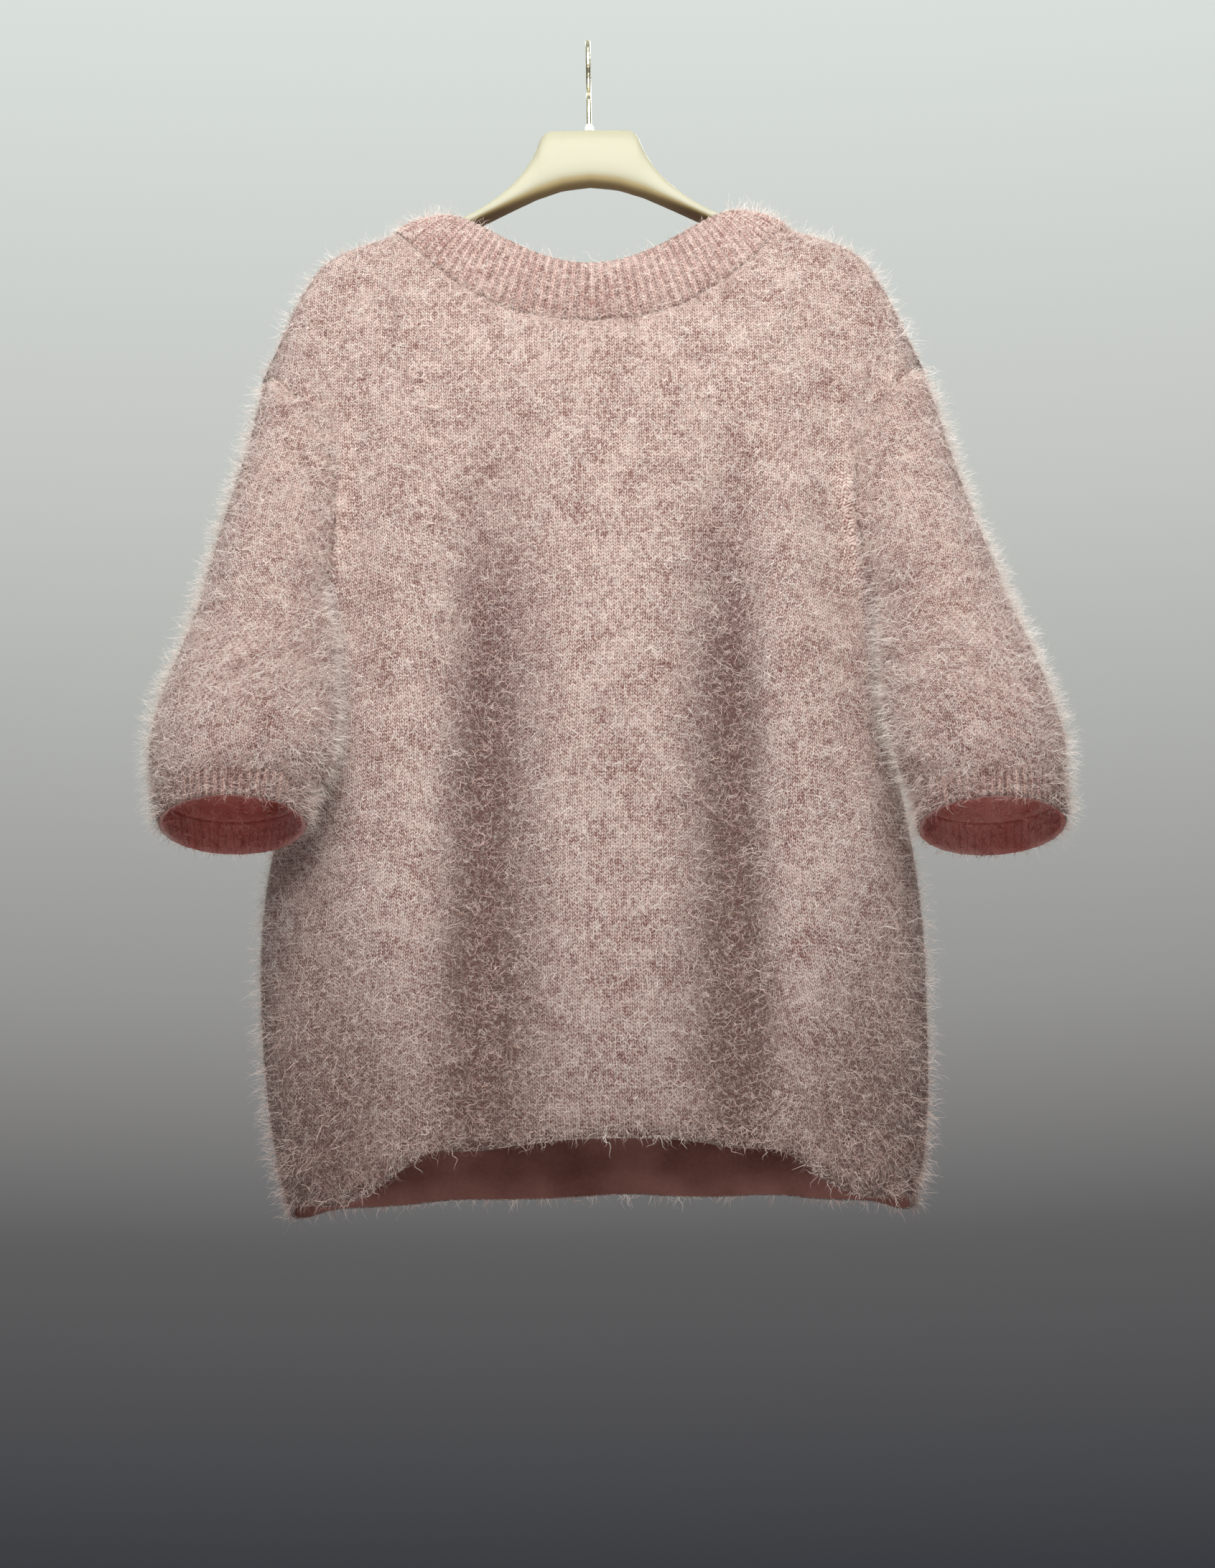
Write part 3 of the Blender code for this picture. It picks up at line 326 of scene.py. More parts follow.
def round_top(x, z):
    """Half the cloth's depth near the shoulder line, where it bends over the hanger's arm."""
    depth = DROOP.at("round_depth", np.abs(x))
    height = DROOP.at("round_height", np.abs(x))
    share = 1 - np.clip(below_shoulder(x, z) / height, 0, 1)
    return depth * (1 - share**TOP_POWER) ** (1 / TOP_POWER)


def fold_depth(x, z, folds):
    """How far the folds draw the cloth inwards."""
    total = np.zeros_like(x)
    for fold in folds.records():
        sink = np.clip((fold["start"] - z) / (fold["start"] - HEM), 0, 1)
        middle = fold["top_x"] + (fold["hem_x"] - fold["top_x"]) * sink
        outwards = (x - middle) * math.copysign(1, fold["top_x"]) > 0
        width = np.where(outwards, fold["outer"], fold["inner"])
        growth = ease((fold["start"] - z) / (fold["start"] - fold["full"]))
        fade = 1 - ease((fold["full"] - z) / (fold["full"] - fold["fade"]))
        total += fold["depth"] * growth * fade * np.exp(-(((x - middle) / width) ** 2))
    return total


# %% Front and back panels
FACINGS = {"front": -1, "back": 1}


def even_section():
    """Places along half of the body's flattened section, evenly spaced: share of width, share of depth."""
    angles = np.linspace(0, math.pi / 2, 400)
    across = np.sin(angles) ** (2 / SECTION_POWER)
    depth = np.cos(angles) ** (2 / SECTION_POWER)
    steps = np.hypot(np.diff(across), SECTION_RATIO * np.diff(depth))
    length = np.concatenate([[0], np.cumsum(steps)]) / steps.sum()
    places = np.interp(np.linspace(0, 1, SIDE_COLUMNS + 1), length, across)
    places[-1] = 1.0
    return places, (1 - places**SECTION_POWER) ** (1 / SECTION_POWER)


def both_sides(half, sign):
    """A half column of values, from the middle outwards, with its mirror in front of it."""
    return np.concatenate([sign * half[:0:-1], half])


def neck_seam_height(x, drop):
    return DROOP.at("height", NECK_HALF) - drop * (1 - (x / NECK_HALF) ** NECK_CURVE)


def top_edge(facing):
    """Where the columns of the front or back start: along the neckline, then the shoulder seam."""
    turn = np.radians(NECK_TURNS)
    neck_x = NECK_HALF * np.sin(turn)
    neck_z = neck_seam_height(neck_x, FRONT_SEAM_DROP if facing == "front" else BACK_SEAM_DROP)
    line = SHOULDER[SHOULDER[:, 0] > NECK_HALF]
    line = np.concatenate([[[NECK_HALF, DROOP.at("height", NECK_HALF)]], line])
    length = np.concatenate([[0], np.cumsum(np.linalg.norm(np.diff(line, axis=0), axis=1))])
    stops = np.linspace(0, length[-1], SIDE_COLUMNS - NECK_COLUMNS + 1)[1:]
    seam = np.stack([np.interp(stops, length, line[:, axis]) for axis in (0, 1)], axis=1)
    x = np.concatenate([neck_x, seam[:, 0]])
    z = np.concatenate([neck_z, seam[:, 1]])
    return both_sides(x, -1), both_sides(z, 1)


def panel(facing):
    """The outer skin of the front or back, a grid from the neck and shoulders down to the hem."""
    way = FACINGS[facing]
    folds = FRONT_FOLDS if facing == "front" else BACK_FOLDS
    width_share, depth_share = even_section()
    width_share, depth_share = both_sides(width_share, -1), both_sides(depth_share, 1)
    outward_share = np.abs(width_share)
    outward = np.abs(np.linspace(-1, 1, 2 * SIDE_COLUMNS + 1))

    start_x, start_z = top_edge(facing)
    end_x = BODY.at("half_width", UNDERARM) * width_share
    pulled = ARMHOLE_PULL * np.clip(np.abs(start_x) / NECK_HALF, 0, 1)
    bend_x = np.copysign(pulled, start_x)
    bend_z = (start_z + UNDERARM) / 2 + ARMHOLE_LIFT * ease((outward - 0.5) / 0.5)
    # Rows crowd together at the top, where the cloth bends over the hanger, and just above the underarm.
    crowding = 2.0 - 0.9 * ease((outward - 0.8) / 0.2)
    yoke = np.linspace(0, 1, YOKE_ROWS)[:, None] ** crowding
    yoke = np.concatenate([yoke[:-1], (yoke[-2:-1] + 1) / 2, yoke[-1:]])
    x = (1 - yoke) ** 2 * start_x + 2 * yoke * (1 - yoke) * bend_x + yoke**2 * end_x
    z = (1 - yoke) ** 2 * start_z + 2 * yoke * (1 - yoke) * bend_z + yoke**2 * UNDERARM

    drops = UNDERARM + (HEM - UNDERARM) * np.linspace(0, 1, SKIRT_ROWS + 1)[1:, None] ** 0.85
    sunk = (UNDERARM - drops) / (UNDERARM - HEM)
    outer, side = ease((outward_share - 0.5) / 0.3), ease((outward_share - 0.85) / 0.15)
    corner = outer - 0.6 * side if facing == "front" else 0.4 * side
    skirt_z = drops - HEM_SAG * sunk * width_share**2 - HEM_CORNER * sunk**3 * corner
    skirt_x = BODY.at("half_width", skirt_z) * width_share + BODY.at("centre", skirt_z)
    x, z = np.concatenate([x, skirt_x]), np.concatenate([z, skirt_z])

    depth = BODY.at(facing + "_depth", z)
    side_y = BODY.at("side_y", z)
    swing = 1 - np.exp(-below_shoulder(x, z) / SHOULDER_REACH)
    top = round_top(x, z)
    hung = way * (top + np.maximum(depth - top, 0) * swing * depth_share)
    level = side_y + (way * depth - side_y) * depth_share
    share = ease((np.concatenate([yoke, np.ones_like(skirt_z)]) - 0.30) / 0.70)
    on_hanger = top < 0.8 * DROOP.at("round_depth", np.abs(x))
    free = ease(depth_share / 0.5) * np.where(on_hanger, share, 1)
    y = hung * (1 - share) + level * share - way * fold_depth(x, z, folds) * free
    from_edge = np.minimum(np.arange(len(outward)), np.arange(len(outward))[::-1])
    edge_pull = np.clip(1 - from_edge / EDGE_COLUMNS, 0, 1) ** 2
    for column in (0, -1):
        lift = ARMHOLE.at(facing + "_y", yoke[:, column]) - y[: YOKE_ROWS + 1, column]
        near = edge_pull * (np.sign(start_x) == np.sign(start_x[column]))
        y[1 : YOKE_ROWS + 1] += lift[1:, None] * near
    return np.stack([x, y, z], axis=-1)


panels = {facing: panel(facing) for facing in FACINGS}
for column in (0, -1):
    panels["back"][YOKE_ROWS:, column] = panels["front"][YOKE_ROWS:, column]
for columns in (slice(0, SIDE_COLUMNS - NECK_COLUMNS + 1), slice(SIDE_COLUMNS + NECK_COLUMNS, None)):
    panels["front"][0, columns, 1] = 0.0
    panels["back"][0, columns, 1] = 0.0
print("panel grid:", panels["front"].shape)

# %% [markdown]
# The sleeves' surface
#
# A sleeve is a stack of level sections. The upper ones are open towards the body and end on the
# armhole's two edges. Below the underarm they are closed rings, which grow into the full, round
# balloon and are gathered again by the cuff.

# %% The sleeves' sizes
SLEEVE_MARGIN = 0.02
SLEEVE_COLUMNS = 22
SLEEVE_DROPS = (0.07, 0.17, 0.29, 0.42, 0.56, 0.70, 0.82, 0.92, 1.0)
SLEEVE_BLEND = 6

# Level sections of the sleeves: how far each reaches out, in, forwards and back.
SLEEVE = "height outer inner front_y back_y"
SLEEVES = {
    "left": Table(
        SLEEVE,
        (-0.606, 0.2885, 0.1900, -0.1170, -0.0190),
        (-0.597, 0.2900, 0.1880, -0.1190, -0.0170),
        (-0.588, 0.2935, 0.1800, -0.1225, -0.0135),
        (-0.569, 0.2955, 0.1730, -0.1235, -0.0110),
        (-0.538, 0.2930, 0.1720, -0.1150, -0.0040),
        (-0.502, 0.2835, 0.1730, -0.1010, 0.0080),
        (-0.461, 0.2715, 0.1740, -0.0850, 0.0200),
        (-0.404, 0.2590, 0.1750, -0.0670, 0.0300),
        (-0.361, 0.2490, 0.1780, -0.0560, 0.0320),
        (-0.329, 0.2405, 0.1830, -0.0480, 0.0310),
        (-0.308, 0.2350, 0.1880, -0.0420, 0.0300),
        (-0.285, 0.2315, 0.1920, -0.0320, 0.0280),
        (-0.262, 0.2300, 0.1980, -0.0250, 0.0250),
    ),
    "right": Table(
        SLEEVE,
        (-0.615, 0.3010, 0.2065, -0.1160, -0.0185),
        (-0.606, 0.3025, 0.2050, -0.1180, -0.0160),
        (-0.596, 0.3050, 0.1990, -0.1215, -0.0125),
        (-0.574, 0.3055, 0.1955, -0.1225, -0.0105),
        (-0.540, 0.3000, 0.1935, -0.1140, -0.0030),
        (-0.503, 0.2910, 0.1925, -0.1000, 0.0080),
        (-0.466, 0.2800, 0.1910, -0.0850, 0.0190),
        (-0.413, 0.2660, 0.1880, -0.0670, 0.0290),
        (-0.372, 0.2535, 0.1850, -0.0560, 0.0320),
        (-0.336, 0.2450, 0.1860, -0.0480, 0.0310),
        (-0.310, 0.2390, 0.1890, -0.0420, 0.0300),
        (-0.285, 0.2340, 0.1930, -0.0320, 0.0280),
        (-0.262, 0.2300, 0.1980, -0.0250, 0.0250),
    ),
}
CUFF_TOPS = {"left": -0.597, "right": -0.606}
UNDERARM_TURNS = (229.0, 184.0)  # degrees round the section where the sleeve's seam starts and ends
CUFF_EDGE_HALF_X = 0.0475
CUFF_EDGE_HALF_Y = 0.0530
SIDES = {"left": -1, "right": 1}

# %% Sleeve grids
def clear_of_body(points):
    """Moves the points that lie inside the body's section below the underarm out to its surface."""
    x, y, z = np.moveaxis(points, -1, 0)
    middle, side_y = BODY.at("centre", z), BODY.at("side_y", z)
    width, depth = BODY.at("half_width", z), side_y + BODY.at("front_depth", z)
    across, forward = np.abs(x - middle) / width, np.maximum(side_y - y, 0) / depth
    reach = (across**SECTION_POWER + forward**SECTION_POWER) ** (1 / SECTION_POWER)
    push = np.maximum(1, (1 + SLEEVE_MARGIN) / reach)
    return np.stack([middle + (x - middle) * push, side_y + (y - side_y) * push, z], axis=-1)


def section(side, height):
    """The middle and the half sizes of the sleeve's level section."""
    outer, inner, ahead, behind = (SLEEVES[side].at(name, height) for name in SLEEVE.split()[1:])
    return (outer + inner) / 2, (outer - inner) / 2, (ahead + behind) / 2, (behind - ahead) / 2


def on_section(side, height, turn, reach):
    """Points round a level section. turn is 0 at its outside and a quarter turn at its front."""
    middle_x, half_x, middle_y, half_y = section(side, height)
    x = middle_x + reach * half_x * np.cos(turn)
    y = middle_y - reach * half_y * np.sin(turn)
    return np.stack([SIDES[side] * x, y, np.full_like(x, height)], axis=1)


def turn_and_reach(side, point):
    """Where a point lies round its level section, and how far out as a share of the section."""
    middle_x, half_x, middle_y, half_y = section(side, point[2])
    across, ahead = (abs(point[0]) - middle_x) / half_x, (middle_y - point[1]) / half_y
    return math.atan2(ahead, across), math.hypot(across, ahead)


def blend_ends(start, end):
    """1 plus what each end differs from 1 by, fading over the first and the last few columns."""
    place = np.arange(SLEEVE_COLUMNS + 1)
    from_start = np.clip(1 - place / SLEEVE_BLEND, 0, 1) ** 2
    return 1 + (start - 1) * from_start + (end - 1) * from_start[::-1]


def over_the_top(three):
    """The sleeve's first row: straight from the front's edge to the shoulder's end and on to the back's."""
    place = np.linspace(0, 2, SLEEVE_COLUMNS + 1)
    return np.stack([np.interp(place, [0, 1, 2], three[:, axis]) for axis in range(3)], axis=1)


def sleeve(front, back, side):
    """Level rows from the top of the armhole down. They are open on the armhole's edges as far as the
    underarm and are closed rings below it. Returns the grid and the first closed row."""
    column = 0 if side == "left" else -1
    front_edge, back_edge = front[:, column], back[:, column]
    rows = [over_the_top(np.array([front_edge[1], front_edge[0], back_edge[1]]))]
    for k in range(2, YOKE_ROWS):
        (turn_f, reach_f), (turn_b, reach_b) = (
            turn_and_reach(side, edge[k]) for edge in (front_edge, back_edge)
        )
        turn = np.linspace(turn_f % (2 * math.pi), -(-turn_b % (2 * math.pi)), SLEEVE_COLUMNS + 1)
        row = on_section(side, front_edge[k, 2], turn, blend_ends(reach_f, reach_b))
        row[0], row[-1] = front_edge[k], back_edge[k]
        rows.append(row)
    closed_from = len(rows)
    underarm = front_edge[YOKE_ROWS]
    turn_u, reach_u = turn_and_reach(side, underarm)
    turn_u %= 2 * math.pi
    for share in (0.0, *SLEEVE_DROPS):
        height = UNDERARM + (CUFF_TOPS[side] - UNDERARM) * share
        seam = turn_u + (math.radians(UNDERARM_TURNS[1]) - turn_u) * ease(share / 0.8)
        turn = seam - np.linspace(0, 2 * math.pi, SLEEVE_COLUMNS + 1)
        reach = 1 + (reach_u - 1) * (1 - share)
        row = clear_of_body(on_section(side, height, turn, blend_ends(reach, reach)))
        if share == 0.0:
            row[0] = row[-1] = underarm
        rows.append(row)
    return np.array(rows), closed_from


sleeve_grids = {}
for side in SIDES:
    sleeve_grids[side], closed_from = sleeve(panels["front"], panels["back"], side)
print("sleeve grid:", sleeve_grids["left"].shape, "closed from row", closed_from)

# %% [markdown]
# Writing a material as sums
#
# A procedural finish is mostly arithmetic: where am I in the stitch, how far from its middle, how
# dark is the gap. A small wrapper round a socket lets that be written as ordinary sums, and each sum
# adds its Math node to the material.

# %% The socket wrapper
class Wire:
    """An output of a node. Sums with it add Math nodes to its material."""

    def __init__(self, tree, socket=None):
        self.tree = tree
        self.socket = socket

    def node(self, kind, settings=None, inputs=None, out=0):
        made = self.tree.nodes.new("ShaderNode" + kind)
        for name, value in (settings or {}).items():
            if name == "stops":
                ramp = made.color_ramp
                while len(ramp.elements) < len(value):
                    ramp.elements.new(0.5)
                for element, (position, colour) in zip(ramp.elements, value):
                    element.position = position
                    element.color = (*colour, 1.0)
            else:
                setattr(made, name, value)
        for name, value in (inputs or {}).items():
            socket = made.inputs[name]
            if isinstance(value, Wire):
                self.tree.links.new(value.socket, socket)
            else:
                socket.default_value = value
        return Wire(self.tree, made.outputs[out])

    def math(self, operation, *values, clamp=False):
        return self.node("Math", {"operation": operation, "use_clamp": clamp}, dict(enumerate(values)))

    def __add__(self, other):
        return self.math("ADD", self, other)

    def __radd__(self, other):
        return self.math("ADD", other, self)

    def __sub__(self, other):
        return self.math("SUBTRACT", self, other)

    def __rsub__(self, other):
        return self.math("SUBTRACT", other, self)

    def __mul__(self, other):
        return self.math("MULTIPLY", self, other)

    def __rmul__(self, other):
        return self.math("MULTIPLY", other, self)

    def __truediv__(self, other):
        return self.math("DIVIDE", self, other)

    def mix(self, low, high):
        """Between two colours, by this value."""
        return self.node("Mix", {"data_type": "RGBA"}, {"Factor": self, 6: low, 7: high}, out=2)


def colour(red, green, blue):
    return (red, green, blue, 1.0)


def new_finish(name):
    """A material, a Wire into it and its Principled shader."""
    made = bpy.data.materials.new(name)
    made.use_nodes = True
    return made, Wire(made.node_tree), made.node_tree.nodes["Principled BSDF"]


def feed(shader, socket, wire):
    wire.tree.links.new(wire.socket, shader.inputs[socket])


# %% [markdown]
# The knitting
#
# Stocking stitch shows as columns of small V shapes. Here a stitch is 3.2 mm wide and 2.5 mm high. The
# piece's UV map is in metres, measured along the cloth, so the stitches keep their size however the
# cloth bends. The legs of the V are pale and rounded, and the gaps between them are a reddish brown.

# %% Knit finish
STITCH_WIDTH = 0.0032
STITCH_HEIGHT = 0.0025
STITCH_RELIEF = 0.0011
RIB_RELIEF = 0.0008
KNIT_PALE = colour(0.93, 0.745, 0.680)
KNIT_DEEP = colour(0.250, 0.100, 0.082)
# Painted shade: the brown that fold bottoms, rib valleys and the lower corners are mixed towards.
PAINTED_SHADE_BROWN = colour(0.150, 0.070, 0.058)
PAINTED_SHADE_TINT = 0.9  # how much of the painted-shade brown the bottoms of troughs take on
KNIT_GLOW = 0.22  # how much light the loose knitting lets through
SLEEVE_GLOW = 0.32
CUFF_GLOW = 0.20
CURL_PALE = colour(0.96, 0.86, 0.80)
CURL_SHARE = 0.55
CURL_SCALES = (190.0, 330.0)


def let_through(wire, shader, tint, share):
    """Lets part of the light through, as loose knitting and single fibres do."""
    glow = wire.node("BsdfTranslucent", None, {"Color": tint})
    both = wire.node("MixShader", None, {0: share, 2: glow})
    wire.tree.links.new(shader.outputs["BSDF"], both.socket.node.inputs[1])
    wire.tree.links.new(both.socket, wire.tree.nodes["Material Output"].inputs["Surface"])


def curls(wire, uv, scale):
    """Thin curly lines, like loose fibres that lie on the cloth: the middle heights of a noise."""
    hills = wire.node("TexNoise", None, {"Vector": uv, "Scale": scale, "Detail": 1.0, "Distortion": 0.6})
    pieces = wire.node("TexNoise", None, {"Vector": uv, "Scale": scale * 0.8 + 40.0, "Detail": 0.0})
    line = wire.math("SUBTRACT", 1.0, wire.math("ABSOLUTE", hills - 0.5) * 20.0, clamp=True)
    return line * wire.math("MULTIPLY", pieces - 0.42, 5.0, clamp=True)


def knit_finish(name, pale, deep, relief, glow=KNIT_GLOW):
    """The V shapes of the stitches, each with its own tone, with painted shade in troughs and with curls on
    top.
    """
    made, wire, shader = new_finish(name)
    uv = wire.node("UVMap", {"uv_map": "cloth"})
    wander = wire.node("TexNoise", None, {"Vector": uv, "Scale": 110.0, "Detail": 2.0})
    across = wire.node("SeparateXYZ", None, {"Vector": uv}, out=0)
    down = wire.node("SeparateXYZ", None, {"Vector": uv}, out=1)
    column = (across + (wander - 0.5) * 0.0016) / STITCH_WIDTH
    from_middle = wire.math("ABSOLUTE", wire.math("FRACT", column) - 0.5)
    leg = (down + (wander - 0.5) * 0.0018) / STITCH_HEIGHT + from_middle * 1.5
    stitch_place = {0: wire.math("FLOOR", column * 2.0), 1: wire.math("FLOOR", leg)}
    stitch = wire.node("CombineXYZ", None, stitch_place)
    each = wire.node("TexWhiteNoise", {"noise_dimensions": "2D"}, {"Vector": stitch})
    in_leg = wire.math("ABSOLUTE", wire.math("FRACT", leg) - 0.5)
    round_leg = wire.math("SUBTRACT", 1.0, in_leg * in_leg * 3.6, clamp=True)
    side = wire.math("ABSOLUTE", from_middle - 0.25) * 4.0
    height = round_leg * (1.0 - side * side * 0.75)
    blotch = wire.node("TexNoise", None, {"Vector": uv, "Scale": 34.0, "Detail": 4.0, "Roughness": 0.65})
    fleck = wire.node("TexNoise", None, {"Vector": uv, "Scale": 420.0, "Detail": 3.0, "Roughness": 0.7})
    uneven = (blotch - 0.5) * 1.6 + (fleck - 0.5) * 0.7 + (each - 0.5) * 0.70
    amount = wire.math("ADD", height * 1.10, uneven - 0.14, clamp=True)
    # Painted shade: the attribute read here darkens the stitches towards that brown in folds, between ribs
    # and at the lower corners.
    trough = wire.node("Attribute", {"attribute_name": "trough"}, out=2)
    tint = (trough * PAINTED_SHADE_TINT).mix(amount.mix(deep, pale), PAINTED_SHADE_BROWN)
    for scale in CURL_SCALES:
        tint = (curls(wire, uv, scale) * CURL_SHARE).mix(tint, CURL_PALE)
    feed(shader, "Base Color", tint)
    bump = wire.node("Bump", None, {"Strength": 0.85, "Distance": relief, "Height": height + fleck * 0.6})
    feed(shader, "Normal", bump)
    shader.inputs["Roughness"].default_value = 0.95
    shader.inputs["Specular IOR Level"].default_value = 0.2
    shader.inputs["Sheen Weight"].default_value = 0.25
    shader.inputs["Sheen Roughness"].default_value = 0.5
    shader.inputs["Sheen Tint"].default_value = colour(0.95, 0.83, 0.78)
    let_through(wire, shader, tint, glow)
    return made


def inside_finish(name, pale, deep, glow):
    """The smoother inside of the cloth, with painted light in cloudy blotches for the light that comes
    through from outside.
    """
    made, wire, shader = new_finish(name)
    spot = wire.node("TexCoord", out=3)
    cloudy = wire.node("TexNoise", None, {"Vector": spot, "Scale": 16.0, "Detail": 2.0})
    fuzz = wire.node("TexNoise", None, {"Vector": spot, "Scale": 380.0, "Detail": 3.0})
    share = wire.math("MULTIPLY", cloudy - 0.36, 3.4, clamp=True)
    tint = wire.math("ADD", share, (fuzz - 0.5) * 0.5, clamp=True).mix(deep, pale)
    feed(shader, "Base Color", tint)
    feed(shader, "Normal", wire.node("Bump", None, {"Strength": 0.5, "Distance": 0.0006, "Height": fuzz}))
    shader.inputs["Roughness"].default_value = 0.95
    shader.inputs["Specular IOR Level"].default_value = 0.1
    let_through(wire, shader, tint, glow)
    return made


knit_outside = knit_finish("mohair_knit", KNIT_PALE, KNIT_DEEP, STITCH_RELIEF)
sleeve_outside = knit_finish("mohair_sleeve_knit", KNIT_PALE, KNIT_DEEP, STITCH_RELIEF, SLEEVE_GLOW)
# Painted light and shade: the body's inside gets dark tones for the shade it lies in, and the sleeves'
# inside bright rose tones for the light that reaches into the cuffs.
body_inside_painted_shade = inside_finish(
    "mohair_body_inside_painted_shade", colour(0.36, 0.17, 0.145), colour(0.17, 0.07, 0.060), 0.10
)
sleeve_inside_painted_light = inside_finish(
    "mohair_sleeve_inside_painted_light", colour(0.98, 0.68, 0.64), colour(0.80, 0.33, 0.30), 0.60
)
print("finishes:", knit_outside.name, body_inside_painted_shade.name, sleeve_inside_painted_light.name)

# %% [markdown]
# From a grid to a piece of cloth
#
# Each piece starts as a flat grid. Its corners are laid on the surface worked out above, its UV map
# gets the distances along the cloth, the two edges of a tube are merged, and a Subdivision Surface
# makes it smooth. Hairs are planted on this one-sided skin, and only then does Solidify give it a
# thickness and an inside.

# %% Cloth helpers
KNIT_WALL = 0.0026
# The fold depth that gets the full painted shade.
FULL_SHADE_FOLD_DEPTH = 0.028
HEM_SHADE = 0.5  # how much more painted shade the troughs get near the hem
LOW_SHADE = 0.90  # how much painted shade darkens the knitting towards its lower corners
LOW_FROM = -0.60  # the height where the painted shade starts to darken the knitting
LOW_OVER = 0.22  # the drop over which it does


def along(grid, axis, axes):
    """Distances between neighbouring points, added up along one axis of a grid."""
    steps = np.linalg.norm(np.diff(grid[..., axes], axis=axis), axis=-1)
    start = np.zeros_like(np.take(steps, [0], axis=axis))
    return np.cumsum(np.concatenate([start, steps], axis=axis), axis=axis)


def cloth_uv(grid):
    """Each point's place on the cloth in metres: across from the middle column, and down."""
    across = along(grid, 1, [0, 1])
    across = across - across[:, [grid.shape[1] // 2]]
    return np.stack([across + 1.0, 1.0 - grid[0, :, 2] + along(grid, 0, [1, 2])], axis=-1)


def cloth_skin(name, grid, smooth_levels=1, uv=None):
    """A smooth one-sided skin over a grid of points."""
    rows, columns = grid.shape[:2]
    bpy.ops.mesh.primitive_grid_add(x_subdivisions=columns - 1, y_subdivisions=rows - 1, size=1.0)
    piece = bpy.context.active_object
    piece.name = name
    mesh = piece.data
    mesh.vertices.foreach_set("co", grid.reshape(-1).astype(np.float32))
    where = np.empty(len(mesh.loops), np.int32)
    mesh.loops.foreach_get("vertex_index", where)
    layer = mesh.uv_layers.active
    layer.name = "cloth"
    flat = (cloth_uv(grid) if uv is None else uv).reshape(-1, 2)
    layer.data.foreach_set("uv", flat[where].reshape(-1).astype(np.float32))
    bpy.ops.object.mode_set(mode="EDIT")
    bpy.ops.mesh.select_all(action="SELECT")
    bpy.ops.mesh.remove_doubles(threshold=1e-5)
    bpy.ops.object.mode_set(mode="OBJECT")
    if smooth_levels:
        levels = {"levels": smooth_levels, "render_levels": smooth_levels}
        apply_modifier(piece, "SUBSURF", boundary_smooth="PRESERVE_CORNERS", **levels)
    bpy.ops.object.shade_smooth()
    return piece


def read_triples(parts, name):
    """A named value with three numbers of each of a mesh's points or faces, a row for each."""
    values = np.empty(len(parts) * 3)
    parts.foreach_get(name, values)
    return values.reshape(-1, 3)


def points_of(piece):
    return read_triples(piece.data.vertices, "co")


def apply_modifier(piece, kind, **settings):
    bpy.context.view_layer.objects.active = piece
    piece.select_set(True)
    added = piece.modifiers.new(kind.lower(), kind)
    for name, value in settings.items():
        setattr(added, name, value)
    bpy.ops.object.modifier_apply(modifier=added.name)


def face_outwards(piece, hollow):
    """Turns the skin over if its faces look at the hollow inside."""
    mesh = piece.data
    centres, normals = (read_triples(mesh.polygons, name) for name in ("center", "normal"))
    if ((centres - hollow(centres)) * normals).sum() < 0:
        bpy.ops.object.mode_set(mode="EDIT")
        bpy.ops.mesh.select_all(action="SELECT")
        bpy.ops.mesh.flip_normals()
        bpy.ops.object.mode_set(mode="OBJECT")


def give_thickness(piece, wall, outside, inside, rim_slot):
    piece.data.materials.append(outside)
    piece.data.materials.append(inside)
    apply_modifier(
        piece, "SOLIDIFY", thickness=wall, offset=-1.0, material_offset=1, material_offset_rim=rim_slot
    )
    piece.select_set(False)


def painted_shade_share(points, folds):
    """How much painted shade each place gets: 1 at the bottom of a fold, and rising towards the lower
    corners.
    """
    x, _, z = points.T
    low = ease((LOW_FROM - z) / LOW_OVER)
    sunk = fold_depth(x, z, folds) / FULL_SHADE_FOLD_DEPTH * (1 + HEM_SHADE * low)
    corner = 0.40 + 0.60 * ease((np.abs(x) - 0.08) / 0.10)
    return np.clip(sunk + LOW_SHADE * low * corner, 0, 1)


def mark_painted_shade(piece, share):
    """Writes how much painted shade each point of a skin gets, from how deep it is sunk, for its finish and
    for the tone of its hairs.
    """
    marks = piece.data.attributes.new("trough", "FLOAT", "POINT")
    marks.data.foreach_set("value", np.asarray(share, np.float32))


def skin_area(piece):
    return sum(face.area for face in piece.data.polygons)


# %% [markdown]
# Mohair hairs
#
# A real mohair thread sheds its long fibres through every stitch, and brushing lays them over the
# knitting. Each hair here is a narrow ribbon, wider at its root and pointed at its tip. Three kinds
# grow together: a short dense nap, long wavy fibres that lie on it, and a few that stand out and catch
# the light as a halo. They are worked out in arrays, because tens of thousands are needed.

# %% Hair finish
HAIR_TIP = colour(0.98, 0.94, 0.90)
HAIR_GLOW = 0.35


def hair_finish(name, stops, lift):
    """Across the UV map runs a random tone for each hair, and up it the way from root to tip."""
    made, wire, shader = new_finish(name)
    uv = wire.node("UVMap", {"uv_map": "hair"})
    tone = wire.node("SeparateXYZ", None, {"Vector": uv}, out=0)
    way = wire.node("SeparateXYZ", None, {"Vector": uv}, out=1)
    base = wire.node("ValToRGB", {"stops": stops}, {"Fac": tone})
    tint = (way * lift).mix(base, HAIR_TIP)
    feed(shader, "Base Color", tint)
    shader.inputs["Roughness"].default_value = 0.62
    shader.inputs["Specular IOR Level"].default_value = 0.3
    let_through(wire, shader, tint, HAIR_GLOW)
    return made


HAIR_STOPS = [
    (0.00, (0.23, 0.092, 0.070)),
    (0.28, (0.60, 0.375, 0.320)),
    (0.55, (0.92, 0.750, 0.680)),
    (1.00, (0.98, 0.930, 0.880)),
]
